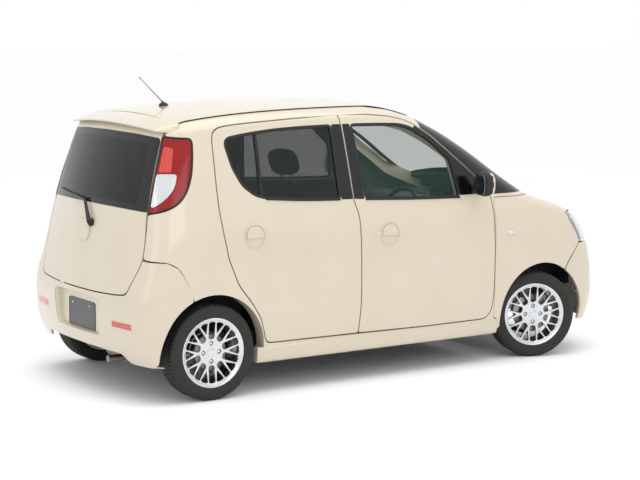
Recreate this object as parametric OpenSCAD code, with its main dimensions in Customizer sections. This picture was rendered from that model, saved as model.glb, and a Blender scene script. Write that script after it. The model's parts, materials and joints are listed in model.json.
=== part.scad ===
// Five-door kei car: a tall two-box hatchback, right-hand drive.
// Millimetres. +X is forward, +Y is left, +Z is up. The origin is on the ground
// under the middle of the body.

/* [Body] */
// Overall length of the body
body_length = 3395; // [2800:5:4200]
// Width over the body sides
body_width = 1475; // [1250:5:1800]
// Height of the roof above the ground
body_height = 1620; // [1350:5:1950]
// Distance between the axles
wheelbase = 2360; // [2000:5:2900]
// Front axle, ahead of the middle of the body
front_axle_x = 1147.5; // [900:0.5:1400]
// Radius of the wheel-arch openings
arch_radius = 325; // [300:1:380]
// Ground clearance under the floor
floor_z = 165; // [120:1:220]

/* [Panels] */
// Thickness of the doors
door_t = 55; // [35:1:80]
// Depth of the body sides, a little more than the doors
side_t = 88; // [60:1:110]
// Thickness of the roof with its lining
roof_t = 28; // [15:1:45]
// Depth of the bonnet, measured along the car
bonnet_t = 60; // [30:1:90]
// Thickness of the fenders and bumpers
wing_t = 16; // [8:1:30]
// Thickness of the tailgate
gate_t = 48; // [30:1:70]
// Gap round the doors, the bonnet and the tailgate
shut_gap = 6.5; // [5:0.5:10]
// Gap between fixed body panels
seam_gap = 0.3; // [0.2:0.1:1]
// Thickness of the window glass
glass_t = 5; // [3:0.5:8]
// Thickness of the windscreen, measured along the car
screen_t = 10; // [6:0.5:16]
// How far the glass sits below the outer surface
glass_inset = 6; // [3:0.5:15]

/* [Wheels] */
// Outside diameter of the tyres
tyre_d = 537; // [480:1:620]
// Width of the tyres
tyre_w = 165; // [135:1:205]
// Diameter of the rim at its flange
rim_d = 392; // [340:1:440]
// Distance between the tyre centres on the front axle
front_track = 1305; // [1150:1:1500]
// Distance between the tyre centres on the rear axle
rear_track = 1300; // [1150:1:1500]
// Angle of the front wheels as built, turned to the right
steer_rest = 18.95; // [0:0.05:30]
// Distance between the steering axes
kingpin_track = 1185; // [1050:1:1300]
// Number of wheel nuts
nut_count = 4; // [3:1:6]
// Pitch circle of the wheel nuts
nut_circle = 100; // [90:1:130]

/* [Cabin] */
// Height of the front seat cushions
seat_z = 560; // [450:5:650]
// Width of one front seat
seat_w = 480; // [400:5:560]
// Distance between the middles of the front seats
seat_pitch = 620; // [540:5:720]
// Outside diameter of the steering wheel
steering_d = 370; // [330:5:410]

/* [Hidden] */
half = body_length / 2;
rear_axle_x = front_axle_x - wheelbase;
axle_z = tyre_d / 2;
sy = body_width / 1475;
sz = body_height / 1620;
// Drawn places of the axles and the body's ends. Everything drawn ahead of, between
// or behind the axles keeps its share of that stretch when a length changes.
drawn_half = 1697.5;
drawn_front_axle = 1147.5;
drawn_rear_axle = -1212.5;
function mx(x) =
    x > drawn_front_axle
        ? front_axle_x + (x - drawn_front_axle) * (half - front_axle_x) / (drawn_half - drawn_front_axle) :
    x < drawn_rear_axle
        ? rear_axle_x + (x - drawn_rear_axle) * (half + rear_axle_x) / (drawn_half + drawn_rear_axle)
        : rear_axle_x + (x - drawn_rear_axle) * wheelbase / (drawn_front_axle - drawn_rear_axle);
function side_points(P) = [for (p = P) [mx(p[0]), p[1] * sz]];
slide = 0.05;
fixed_gap = 0.3;

// Front outline seen from the side at the centre line: height and distance ahead.
front_line = [[150, 1640], [200, 1662], [280, 1688], [360, 1697.5], [460, 1694],
    [580, 1680], [680, 1655], [780, 1610], [860, 1555], [910, 1495], [950, 1410],
    [985, 1305], [1020, 1215], [1085, 1110], [1157, 1005], [1315, 765], [1437, 540],
    [1500, 400], [1560, 250], [1630, 50]];
// Rear outline seen from the side at the centre line.
rear_line = [[150, -1600], [200, -1635], [260, -1668], [340, -1688], [440, -1697.5],
    [540, -1697.5], [600, -1692], [700, -1672], [850, -1650], [1000, -1625],
    [1100, -1602], [1300, -1540], [1450, -1485], [1550, -1445], [1630, -1400]];
// Half width of the body at each height.
width_line = [[150, 700], [220, 715], [300, 726], [450, 734.5], [600, 737.5], [780, 736],
    [920, 726], [1020, 706], [1100, 690], [1250, 662], [1400, 632], [1500, 610],
    [1560, 595], [1630, 575]];
// Roof line at each distance along the centre.
roof_line = [[-1750, 1500], [-1500, 1540], [-1300, 1570], [-1000, 1600], [-700, 1615],
    [-400, 1620], [-100, 1617], [200, 1600], [450, 1572], [700, 1535], [1000, 1480],
    [1700, 1350]];
// Bow of the front and the rear in plan, in mm per square metre of half width.
front_bow = [[150, 170], [600, 170], [900, 220], [1000, 300], [1100, 360], [1630, 360]];
rear_bow = [[150, 160], [600, 160], [800, 220], [1100, 260], [1630, 220]];
roof_bow = 100;
side_round = 100;
front_round = 160;
rear_round = 130;
roof_round = 70;
waist_z = 950;
waist_taper = 100;

// Heights of the contour rings, closer together where the shape turns.
ring_z = [150, 205, 260, 320, 390, 460, 530, 600, 680, 760, 830, 885, 930, 965, 1000,
    1040, 1090, 1150, 1220, 1290, 1350, 1400, 1445, 1485, 1520, 1548, 1572, 1590, 1603,
    1612, 1617];
// Points the ring rays aim at, from the front middle round to the rear middle.
aim = [[1697, 0], [1697, 170], [1697, 340], [1697, 490], [1697, 590], [1697, 660],
    [1680, 710], [1630, 737], [1540, 737], [1420, 737], [1280, 737], [1120, 737],
    [940, 737], [760, 737], [560, 737], [340, 737], [100, 737], [-140, 737],
    [-380, 737], [-620, 737], [-840, 737], [-1040, 737], [-1220, 737], [-1370, 737],
    [-1490, 737], [-1590, 737], [-1660, 715], [-1697, 670], [-1697, 600], [-1697, 490],
    [-1697, 340], [-1697, 170], [-1697, 0]];
bisections = 17;

function slope(T, i) =
    let (n = len(T) - 1)
    i == 0 ? (T[1][1] - T[0][1]) / (T[1][0] - T[0][0]) :
    i == n ? (T[n][1] - T[n - 1][1]) / (T[n][0] - T[n - 1][0]) :
    let (h0 = T[i][0] - T[i - 1][0], h1 = T[i + 1][0] - T[i][0],
         d0 = (T[i][1] - T[i - 1][1]) / h0, d1 = (T[i + 1][1] - T[i][1]) / h1)
    (d0 * h1 + d1 * h0) / (h0 + h1);
// Smooth curve through the rows of a table, held level past its ends.
function curve(T, v, i = 0) =
    v <= T[0][0] ? T[0][1] :
    v >= T[len(T) - 1][0] ? T[len(T) - 1][1] :
    v > T[i + 1][0] ? curve(T, v, i + 1) :
    let (h = T[i + 1][0] - T[i][0], t = (v - T[i][0]) / h, t2 = t * t, t3 = t2 * t)
    T[i][1] * (2 * t3 - 3 * t2 + 1) + h * slope(T, i) * (t3 - 2 * t2 + t) +
    T[i + 1][1] * (3 * t2 - 2 * t3) + h * slope(T, i + 1) * (t3 - t2);
function near(gap, r) = max(0, 1 - gap / r);
function squared(v) = v * v;
// Below zero inside the body sunk by an offset, with all its corners rounded.
function field(x, y, z, o, w, xf, bf, xr, br) =
    let (y2 = squared(y / 1000),
         taper = waist_taper * max(0, (z - waist_z) / 1000) * squared(x / 1600))
    squared(near(w - taper - o - abs(y), side_round)) +
    squared(near(xf - bf * y2 - o - x, front_round)) +
    squared(near(x - xr - br * y2 - o, rear_round)) +
    squared(near(curve(roof_line, x) - roof_bow * y2 - o - z, roof_round)) - 1;
function reach(c, s, z, o, w, xf, bf, xr, br, lo = 0, hi = 2300, n = bisections) =
    n == 0 ? lo :
    let (m = (lo + hi) / 2, out = field(m * c, m * s, z, o, w, xf, bf, xr, br) > 0)
    out ? reach(c, s, z, o, w, xf, bf, xr, br, lo, m, n - 1)
        : reach(c, s, z, o, w, xf, bf, xr, br, m, hi, n - 1);
function ring(z, o) =
    let (w = curve(width_line, z), xf = curve(front_line, z), bf = curve(front_bow, z),
         xr = curve(rear_line, z), br = curve(rear_bow, z),
         side = [for (p = aim) let (l = norm(p), c = p[0] / l, s = p[1] / l,
                 r = reach(c, s, z, o, w, xf, bf, xr, br)) [mx(r * c), r * s * sy, z * sz]],
         n = len(side))
    concat(side, [for (i = [n - 2:-1:1]) [side[i][0], -side[i][1], side[i][2]]]);

// Solid body shape sunk by an offset. A sunk shape starts lower, so a shell made
// from two of them is open underneath.
module body(o = 0) {
    top = 1620 - o;
    zs = [for (z = ring_z) z < 1300 ? (z == 150 && o > 0 ? 150 - o : z)
        : 1300 + (z - 1300) * (top - 1300) / 320];
    rings = [for (z = zs) ring(z, o)];
    n = len(rings[0]);
    m = len(rings);
    points = concat([for (r = rings) each r],
        [[0, 0, zs[0] * sz], [mx(-400), 0, (top - 0.2) * sz]]);
    faces = concat(
        [for (j = [0:m - 2], i = [0:n - 1]) let (k = (i + 1) % n)
            each [[j * n + i, j * n + k, (j + 1) * n + k], [j * n + i, (j + 1) * n + k, (j + 1) * n + i]]],
        [for (i = [0:n - 1]) [m * n, (i + 1) % n, i]],
        [for (i = [0:n - 1]) [m * n + 1, (m - 1) * n + i, (m - 1) * n + (i + 1) % n]]);
    polyhedron(points, [for (f = faces) [f[2], f[1], f[0]]], convexity = 6);
}
module skin(o0, o1) {
    difference() {
        body(o0);
        body(o1);
    }
}

// Outlines seen from the left: distance ahead and height.
front_door_line = [[-302, 1545], [-100, 1541], [60, 1525], [160, 1503], [225, 1475],
    [338, 1405], [558, 1222], [715, 1088], [748, 1030], [755, 960], [760, 884],
    [764, 746], [765, 515], [761, 400], [750, 335], [728, 300], [695, 282],
    [248, 280], [-236, 287], [-222, 449], [-225, 829], [-229, 973], [-259, 1074],
    [-292, 1488]];
rear_door_line = [[-302, 1545], [-597, 1532], [-926, 1514], [-1060, 1503],
    [-1110, 1492], [-1137, 1470], [-1146, 1430], [-1152, 1217], [-1153, 1060],
    [-1143, 930], [-1114, 780], [-1050, 632], [-969, 531], [-910, 440], [-884, 350],
    [-878, 318], [-862, 297], [-840, 292], [-236, 287], [-222, 449], [-225, 829],
    [-229, 973], [-259, 1074], [-292, 1488]];
front_window_line = [[-230, 1486], [-55, 1484], [110, 1478], [195, 1458], [333, 1378],
    [469, 1262], [514, 1042], [170, 1052], [-174, 1068]];
rear_window_line = [[-1078, 1434], [-980, 1449], [-887, 1461], [-747, 1474],
    [-607, 1481], [-370, 1486], [-352, 1076], [-600, 1086], [-855, 1106],
    [-918, 1124], [-991, 1182], [-1041, 1280]];
fender_line = [[740, 1021], [1110, 1021], [1250, 1000], [1700, 1000], [1700, 700],
    [1448, 700], [1400, 560], [1400, 276], [700, 276], [700, 900]];
front_bumper_line = [[1448, 700], [1400, 560], [1400, 195], [1750, 195], [1750, 894],
    [1448, 894]];
rear_bumper_line = [[-1750, 792], [-1583, 791], [-1494, 786], [-1440, 757],
    [-1400, 705], [-1368, 649], [-1340, 590], [-1340, 215], [-1750, 215]];
side_line = [[-1300, 195], [-1300, 560], [-1750, 560], [-1750, 1640], [330, 1640],
    [1130, 1040], [1100, 1021.5], [700, 1021.5], [700, 275.5], [790, 275.5], [790, 195]];
lamp_edge_line = [[1310, 965], [1365, 845], [1448, 700], [1448, 600], [1750, 600],
    [1750, 1000], [1310, 1000]];
skirt_line = [[-925, 176], [-930, 268], [820, 268], [816, 176]];

// Outlines seen from behind: half width and height.
gate_line = [[0, 586], [230, 587], [440, 594], [518, 604], [550, 686], [590, 791],
    [582, 900], [558, 1040], [512, 1457], [515, 1600], [0, 1640]];
gate_window_line = [[0, 1086], [300, 1082], [522, 1070], [480, 1436], [300, 1450],
    [0, 1454]];
tail_lamp_line = [[515, 1456], [592, 1445], [630, 1320], [652, 1220], [668, 1120],
    [655, 1076], [620, 1052], [560, 1040]];
head_lamp_line = [[410, 770], [430, 872], [520, 902], [600, 940], [760, 975],
    [760, 700], [560, 690], [440, 715]];

// Outlines seen from above: distance ahead and half width.
screen_line = [[345, 0], [335, 200], [305, 380], [262, 500], [560, 545], [820, 580],
    [1090, 604], [1400, 604], [1400, 0]];
roof_outline = [[-1338.2, 0], [-1338.2, 519.7], [-150, 519.7], [261.7, 500], [304.7, 380],
    [334.7, 200], [344.7, 0]];
bonnet_plan = [[1240, 0], [1229, 200], [1194, 400], [1163, 500], [1120, 612],
    [1250, 608], [1400, 575], [1600, 520], [1750, 0]];

mirror_x = 645;
mirror_z = 1115;
mirror_h = 128;
mirror_out = 826;
gate_x = -1345;
recess_x = -1612;
plate_x = -1650;
plate_w = 330;
plate_h = 165;
plate_t = 5.4;
plate_bolts = 210;
plate_hole_r = 3.3;
pillar_gap = 7;
swing_gap = 6;
door_rebate = 12;
screen_z = 1030;
bonnet_edge_z = 896;

// One half of an outline scaled to the body and mirrored about the middle.
function both(P) = concat([for (p = P) [p[0], p[1]]],
    [for (i = [len(P) - 1:-1:0]) if (P[i][0] != 0) [-P[i][0], P[i][1]]]);
function both_y(P) = concat([for (p = P) [p[0], p[1]]],
    [for (i = [len(P) - 1:-1:0]) if (P[i][1] != 0) [P[i][0], -P[i][1]]]);

// Prism of a side outline through one side of the body.
module side_cut(P, grow = 0, y0 = 250, y1 = 900) {
    translate([0, y1 * sy, 0]) rotate([90, 0, 0]) linear_extrude((y1 - y0) * sy)
        offset(delta = grow) polygon(side_points(P));
}
// Prism of an outline seen from behind, between two stations.
module end_cut(P, grow, x0, x1) {
    translate([mx(x0), 0, 0]) rotate([90, 0, 90]) linear_extrude(mx(x1) - mx(x0))
        offset(delta = grow) scale([sy, sz]) polygon(P);
}
// Prism of an outline seen from above.
module plan_cut(P, grow, z0, z1) {
    translate([0, 0, z0 * sz]) linear_extrude((z1 - z0) * sz)
        offset(delta = grow) polygon([for (p = P) [mx(p[0]), p[1] * sy]]);
}
module span(x0, x1, z0, z1, w = 900) {
    translate([mx(x0), -w * sy, z0 * sz])
        cube([mx(x1) - mx(x0), 2 * w * sy, (z1 - z0) * sz]);
}
module arch(x, r, y0 = 300) {
    translate([x, 1000, axle_z]) rotate([90, 0, 0]) cylinder(h = 1000 - y0, r = r, $fn = 72);
}
module arches(grow = 0) {
    arch(front_axle_x, arch_radius + grow);
    arch(rear_axle_x, arch_radius + grow);
}
// Keeps a booleaned panel as one finished mesh.
module panel(side = 1) {
    resize([0, 0, 0]) mirror([0, side < 0 ? 1 : 0, 0]) children();
}

// ---- Body sides, roof and glass ----
module side_frame(side) {
    panel(side) difference() {
        union() {
            intersection() {
                skin(0, side_t);
                side_cut(side_line);
                difference() {
                    span(-1750, 1200, 150, 1700);
                    plan_cut(both_y(roof_outline), seam_gap, 1000, 1700);
                    plan_cut(both_y(screen_line), seam_gap, 1000, 1700);
                    end_cut(both(gate_line), shut_gap, -1750, gate_x + shut_gap);
                    end_cut(both(tail_lamp_line), seam_gap, -1750, -1200);
                    side_cut(rear_bumper_line, seam_gap, 0);
                }
                difference() {
                    translate([-2 * half, 0, 0]) cube([4 * half, 1000, 2000]);
                    side_cut(front_door_line, shut_gap, 0);
                    side_cut(rear_door_line, shut_gap, 0);
                    intersection() {
                        body(wing_t);
                        side_cut(rear_door_line, shut_gap + swing_gap, 0);
                    }
                    arches(18);
                }
            }
            intersection() {
                skin(door_t + pillar_gap, side_t - 3);
                side_cut([[-330, 196], [-170, 196], [-195, 600], [-215, 1060],
                          [-262, 1560], [-345, 1560], [-310, 1060]]);
            }
            intersection() {
                skin(wing_t + fixed_gap, side_t);
                side_cut([[772, 196], [824, 196], [824, 1040], [772, 1040]]);
            }
        }
        arch(front_axle_x, arch_radius);
    }
}
module roof_skin() {
    panel() intersection() {
        skin(0, roof_t);
        plan_cut(both_y(roof_outline), 0, 1300, 1700);
    }
}
module screen() {
    panel() intersection() {
        skin(2, 2 + screen_t);
        plan_cut(both_y(screen_line), 0, 900, 1700);
        span(200, 1500, screen_z, 1700);
    }
}
module cowl() {
    panel() {
        difference() {
            intersection() {
                skin(0, 60);
                plan_cut(both_y(screen_line), 0, 900, 1700);
                span(1000, 1250, 940, screen_z - seam_gap);
            }
            plan_cut(both_y(bonnet_plan), 0, 800, 1700);
        }
        for (y = [-430, 130]) {
            difference() {
                translate([mx(y < 0 ? 1128 : 1178), y * sy, 1000 * sz])
                    cylinder(h = 44, r = 9, $fn = 16);
                body(-fixed_gap);
            }
            intersection() {
                skin(-20, -8);
                plan_cut([[(y < 0 ? 1119 : 1169), y + 8], [(y < 0 ? 1137 : 1187), y - 8],
                          [(y < 0 ? 1090 : 1120), y + 470], [(y < 0 ? 1078 : 1108), y + 470]],
                         0, 1010, 1200);
            }
        }
    }
}

// ---- Doors ----
module door(side, line, window, handle) {
    panel(side) {
        difference() {
            intersection() {
                skin(0, door_t);
                side_cut(line);
            }
            side_cut(window);
            if (line == rear_door_line) side_cut(front_door_line, shut_gap, 0);
            difference() {
                body(wing_t);
                side_cut(line, -door_rebate, 0);
            }
        }
        difference() {
            translate([mx(handle[0]), 729 * sy, handle[1] * sz]) rotate([-90, 0, 0])
                cylinder(h = 10, r = 47, $fn = 32);
            body(1);
        }
    }
}
module front_door(side) {
    door(side, front_door_line, front_window_line, [-24, 854]);
    mirror_pod(side);
}
module rear_door(side) {
    door(side, rear_door_line, rear_window_line, [-946, 899]);
}
module door_glass(side, window) {
    panel(side) intersection() {
        skin(glass_inset, glass_inset + glass_t);
        side_cut(window, -fixed_gap);
    }
}
module mirror_pod(side) {
    panel(side) difference() {
        translate([mx(mirror_x), 0, mirror_z * sz]) hull() {
            translate([0, 728 * sy, -mirror_h / 2 + 6]) cylinder(h = mirror_h - 12, r = 26, $fn = 24);
            translate([8, mirror_out * sy, -mirror_h / 2]) cylinder(h = mirror_h, r = 36, $fn = 24);
            translate([-4, 690 * sy, -mirror_h / 2]) cylinder(h = 40, r = 18, $fn = 24);
        }
        body(-fixed_gap);
    }
}

// ---- Bonnet, fenders, bumpers and lamps ----
module bonnet_lid() {
    panel() difference() {
        intersection() {
            skin(0, bonnet_t);
            plan_cut(both_y(bonnet_plan), -shut_gap, 800, 1100);
            span(1000, 1750, bonnet_edge_z, 1100);
        }
        lamp_prisms(shut_gap + 5);
    }
}
module lamp_prisms(grow) {
    for (s = [0, 1]) mirror([0, s, 0]) intersection() {
        side_cut(lamp_edge_line, grow, 200);
        end_cut(head_lamp_line, grow, 1200, 1760);
    }
}
module fender(side) {
    panel(side) difference() {
        intersection() {
            skin(0, wing_t);
            side_cut(fender_line);
        }
        plan_cut(both_y(bonnet_plan), 0, 800, 1100);
        plan_cut(both_y(screen_line), seam_gap, 800, 1100);
        lamp_prisms(seam_gap);
        arches();
        side_cut(front_door_line, shut_gap, 0);
        side_cut(front_bumper_line, seam_gap, 0);
    }
}
module nose() {
    panel() difference() {
        union() {
            intersection() {
                skin(0, wing_t);
                union() for (s = [0, 1]) mirror([0, s, 0])
                    side_cut(front_bumper_line, 0, -1);
            }
            intersection() {
                skin(wing_t - 1, 50);
                span(1350, 1700, 240, 420, 520);
            }
        }
        span(1300, 1800, bonnet_edge_z - shut_gap, 1000);
        plan_cut(both_y(bonnet_plan), 0, bonnet_edge_z - shut_gap, 1100);
        lamp_prisms(seam_gap);
        for (s = [0, 1]) mirror([0, s, 0]) arches();
        end_cut([[-330, 640], [-300, 700], [300, 700], [330, 640]], 0, 1600, 1760);
        end_cut([[-360, 300], [-330, 400], [330, 400], [360, 300]], 0, 1500, 1760);
        for (s = [-1, 1]) translate([mx(1500), s * 560 * sy, 390 * sz]) rotate([0, 90, 0])
            cylinder(h = 250, r = 42, $fn = 32);
    }
}
module grille_bars() {
    panel() {
        intersection() {
            skin(6, 14);
            difference() {
                end_cut([[-330, 640], [-300, 700], [300, 700], [330, 640]], -fixed_gap, 1600, 1760);
                for (z = [652, 672]) span(1500, 1760, z, z + 10, 290);
            }
        }
        intersection() {
            skin(6, 14);
            difference() {
                end_cut([[-360, 300], [-330, 400], [330, 400], [360, 300]], -fixed_gap, 1500, 1760);
                for (z = [318, 346, 374]) span(1500, 1760, z, z + 14, 320);
            }
        }
    }
}
module head_lamps() {
    panel() intersection() {
        skin(0, 60);
        lamp_prisms(0);
    }
}
module tail_lamp(side) {
    panel(side) difference() {
        intersection() {
            skin(0, 60);
            end_cut(tail_lamp_line, 0, -1750, -1200);
        }
        end_cut(both(gate_line), shut_gap, -1750, gate_x + shut_gap);
    }
}
module tail() {
    panel() difference() {
        union() {
            intersection() {
                skin(0, wing_t);
                union() for (s = [0, 1]) mirror([0, s, 0])
                    side_cut(rear_bumper_line, 0, -1);
            }
            intersection() {
                skin(0, 120);
                span(-1750, recess_x, 322, 572, 310);
            }
        }
        end_cut(both(gate_line), shut_gap, -1750, -1300);
        for (s = [0, 1]) mirror([0, s, 0]) arches();
        hull() {
            span(-1655, plate_x, 335, 515, 240);
            span(-1760, -1755, 322, 590, 300);
        }
        end_cut([[-400, 150], [-370, 258], [370, 258], [400, 150]], 0, -1760, -1300);
    }
}
module plate_blank() {
    difference() {
        translate([mx(plate_x) - fixed_gap - plate_t, -plate_w / 2, 424 * sz - plate_h / 2])
            cube([plate_t, plate_w, plate_h]);
        for (y = [-1, 1]) translate([mx(plate_x) - 20, y * plate_bolts / 2, 424 * sz + 55])
            rotate([0, 90, 0]) cylinder(h = 40, r = plate_hole_r);
    }
}

// ---- Tailgate ----
module gate() {
    panel() difference() {
        union() {
            intersection() {
                skin(0, gate_t);
                end_cut(both(gate_line), 0, -1750, gate_x);
            }
            translate([0, 495 * sy, 0]) rotate([90, 0, 0]) linear_extrude(990 * sy)
                polygon(side_points([[-1375, 1535], [-1440, 1545], [-1505, 1528],
                    [-1508, 1512], [-1470, 1498], [-1432, 1488], [-1400, 1500]]));
        }
        end_cut(both(gate_window_line), 0, -1750, -1200);
    }
}
module gate_glass() {
    panel() intersection() {
        skin(glass_inset, glass_inset + glass_t);
        end_cut(both(gate_window_line), -fixed_gap, -1750, -1200);
    }
}
module back_wiper() {
    panel() {
        difference() {
            translate([mx(-1655), -102 * sy, 947 * sz]) rotate([0, 90, 0])
                cylinder(h = 60, r = 14, $fn = 20);
            body(-fixed_gap);
        }
        intersection() {
            skin(-22, -8);
            end_cut([[-112, 937], [-88, 947], [118, 1066], [108, 1080]], 0, -1750, -1300);
        }
        intersection() {
            skin(-16, -4);
            end_cut([[90, 1070], [96, 1082], [430, 1082], [430, 1070]], 0, -1750, -1300);
        }
    }
}

// ---- Side skirts ----
module skirt(side) {
    panel(side) intersection() {
        skin(-13, -fixed_gap);
        side_cut(skirt_line);
        difference() {
            translate([-2 * half, 0, 0]) cube([4 * half, 1000, 1000]);
            arches(4);
        }
    }
}

// ---- Floor, firewall, aprons and rear floor ----
floor_t = 12;
sheet_t = 8;
firewall_x = mx(800);
kick_x = mx(-440);
rear_floor_z = 330;
sill_in = 560 * sy;
sill_out = 618 * sy;
sill_end = mx(790);
sill_top = 262;
floor_b = floor_z + 30;
floor_top = floor_b + floor_t;
apron_y = kingpin_track / 2 - 220.5;
tower_z = axle_z + 453.5;
beam_x = mx(1545);
well_y = rear_track / 2 - 150;
well_top = 640;
well_l = 312;
tail_x = mx(-1560);
tail_beam_x = mx(-1592);

module box(x0, x1, y0, y1, z0, z1) {
    translate([x0, y0, z0]) cube([x1 - x0, y1 - y0, z1 - z0]);
}
module pair() {
    children();
    mirror([0, 1, 0]) children();
}
module floor_pan() {
    rear_z = rear_floor_z;
    well_x0 = rear_axle_x - well_l;
    well_x1 = rear_axle_x + well_l;
    difference() {
        union() {
            box(kick_x, firewall_x, -sill_out, sill_out, floor_b, floor_top);
            box(kick_x - sheet_t, kick_x, -sill_out, sill_out, floor_b, rear_z + floor_t);
            box(tail_x, kick_x, -sill_out, sill_out, rear_z, rear_z + floor_t);
            box(firewall_x - sheet_t, firewall_x, -600 * sy, 600 * sy, floor_b, 960 * sz);
            pair() {
                box(rear_axle_x + arch_radius + 20, sill_end, sill_in, sill_out, floor_z, sill_top);
                box(firewall_x - 0.1, beam_x, apron_y, apron_y + sheet_t, 330, tower_z + 22);
                box(front_axle_x - 70, front_axle_x + 70, apron_y, kingpin_y + 17.5,
                    tower_z + 10, tower_z + 22);
                box(well_x0, well_x1, well_y - sheet_t, well_y, rear_z, well_top);
                box(well_x0, well_x1, well_y - sheet_t, 648 * sy, well_top, well_top + sheet_t);
                box(tail_beam_x, tail_x, 330 * sy, 480 * sy, rear_z - 60, rear_z + floor_t);
            }
            box(beam_x - 0.1, beam_x + 35, -500 * sy, 500 * sy, 400, 520);
            box(mx(recess_x) + fixed_gap, tail_beam_x + 0.1, -480 * sy, 480 * sy,
                rear_z - 60, rear_z + 60);
        }
        pair() box(well_x0 + 0.1, well_x1 - 0.1, well_y, 700, 0, well_top);
        translate([mx(700), steering_y, dash_bore_z(mx(700))]) cube([300, 60, 80], center = true);
    }
}

// ---- Engine, tank and exhaust ----
engine_back = front_axle_x - 182.5;
engine_front = front_axle_x + 237.5;
engine_z = 235;
module engine() {
    box(engine_back, engine_front, -330, 340, engine_z, engine_z + 465);
    pair() box(front_axle_x - 27.5, front_axle_x + 32.5, 330, apron_y - fixed_gap, 560, 640);
}
module tank() {
    box(mx(-830), kick_x - 20, -400 * sy, 380 * sy, 205, rear_floor_z - fixed_gap);
}
// The pipe runs beside the tank, steps inward ahead of the seats and clears the turned wheel.
module exhaust() {
    pipe_r = 19;
    pipe_y = -470 * sy;
    front_y = -340;
    pipe_z = floor_b - pipe_r - fixed_gap;
    step_x = mx(690);
    pipe_end = mx(-1330);
    muffler_x = mx(-1490);
    muffler_r = 60;
    translate([pipe_end, pipe_y, pipe_z]) rotate([0, 90, 0]) cylinder(h = step_x - pipe_end, r = pipe_r);
    translate([step_x - pipe_r, pipe_y, pipe_z]) rotate([-90, 0, 0])
        cylinder(h = front_y - pipe_y, r = pipe_r - 1);
    translate([step_x - 2 * pipe_r, front_y, pipe_z]) rotate([0, 90, 0])
        cylinder(h = engine_back + 20 + 2 * pipe_r - step_x, r = pipe_r);
    translate([muffler_x, -500 * sy, 236]) rotate([-90, 0, 0]) cylinder(h = 420 * sy, r = muffler_r);
    translate([muffler_x + 30, pipe_y, pipe_z]) rotate([0, 90, 0])
        cylinder(h = pipe_end + 20 - muffler_x, r = pipe_r - 1);
    translate([mx(-1640), -290 * sy, 208]) rotate([0, 90, 0])
        cylinder(h = muffler_x + 30 - mx(-1640), r = pipe_r + 1);
    box(muffler_x - 10, muffler_x + 10, -340 * sy, -320 * sy, 285, rear_floor_z - fixed_gap);
    box(mx(-640), mx(-620), pipe_y - 8, pipe_y + 8, pipe_z, rear_floor_z - fixed_gap);
    box(engine_back + 2, engine_back + 20, front_y, -300, pipe_z - 10, engine_z - fixed_gap);
}

// ---- Suspension ----
kingpin_y = kingpin_track / 2;
module subframe() {
    box(front_axle_x - 147.5, front_axle_x + 32.5, -apron_y, apron_y, 168, 228);
    pair() {
        box(front_axle_x - 127.5, front_axle_x - 87.5, apron_y - 0.1, apron_y + sheet_t,
            200, 330 - fixed_gap);
        box(front_axle_x - 22, front_axle_x + 22, apron_y - 20, kingpin_y - 20, 130, 150);
        box(front_axle_x - 22, front_axle_x + 22, apron_y - 20, apron_y, 130, 228);
        translate([front_axle_x, kingpin_y, 130]) cylinder(h = 20, r = 26);
        translate([front_axle_x, kingpin_y, 149.9]) cylinder(h = 24, r = 9);
    }
}
module back_axle() {
    arm_y = 455;
    box(rear_axle_x + 90, rear_axle_x + 150, -arm_y - 10, arm_y + 10, 225, 275);
    pair() {
        box(rear_axle_x - 35, rear_axle_x + 400, arm_y - 22, arm_y + 22, 225, 285);
        box(rear_axle_x + 360, rear_axle_x + 400, arm_y - 22, arm_y + 22, 284, rear_floor_z - fixed_gap);
        translate([rear_axle_x, arm_y, axle_z]) rotate([-90, 0, 0])
            cylinder(h = rear_track / 2 - arm_y + 20, r = 20);
        translate([rear_axle_x - 20, arm_y, 284]) cylinder(h = rear_floor_z - fixed_gap - 284, r = 20);
    }
}
// Front hub carrier about the wheel middle: +Y is outward before it is turned.
module carrier() {
    in = kingpin_y - front_track / 2;
    difference() {
        union() {
            translate([0, -105, 0]) rotate([-90, 0, 0]) cylinder(h = 103, r = 48);
            translate([-28, -128, -105]) cube([56, 24, 425]);
            translate([-28, -128, 296]) cube([56, 128 + in + 25, 24]);
            translate([0, in, 319.9]) cylinder(h = tower_z - axle_z - 319.9 + 9.7, r = 24);
            translate([-28, -128, -105]) cube([56, 128 + in + 24, 22]);
            translate([50, -60, 40]) cube([50, 62, 70]);
            translate([10, -60, 40]) cube([50, 40, 60]);
        }
        translate([0, -150, 0]) rotate([-90, 0, 0]) cylinder(h = 200, r = 28 + slide);
        translate([0, in, -200]) cylinder(h = 130, r = 9 + slide);
    }
}

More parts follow.
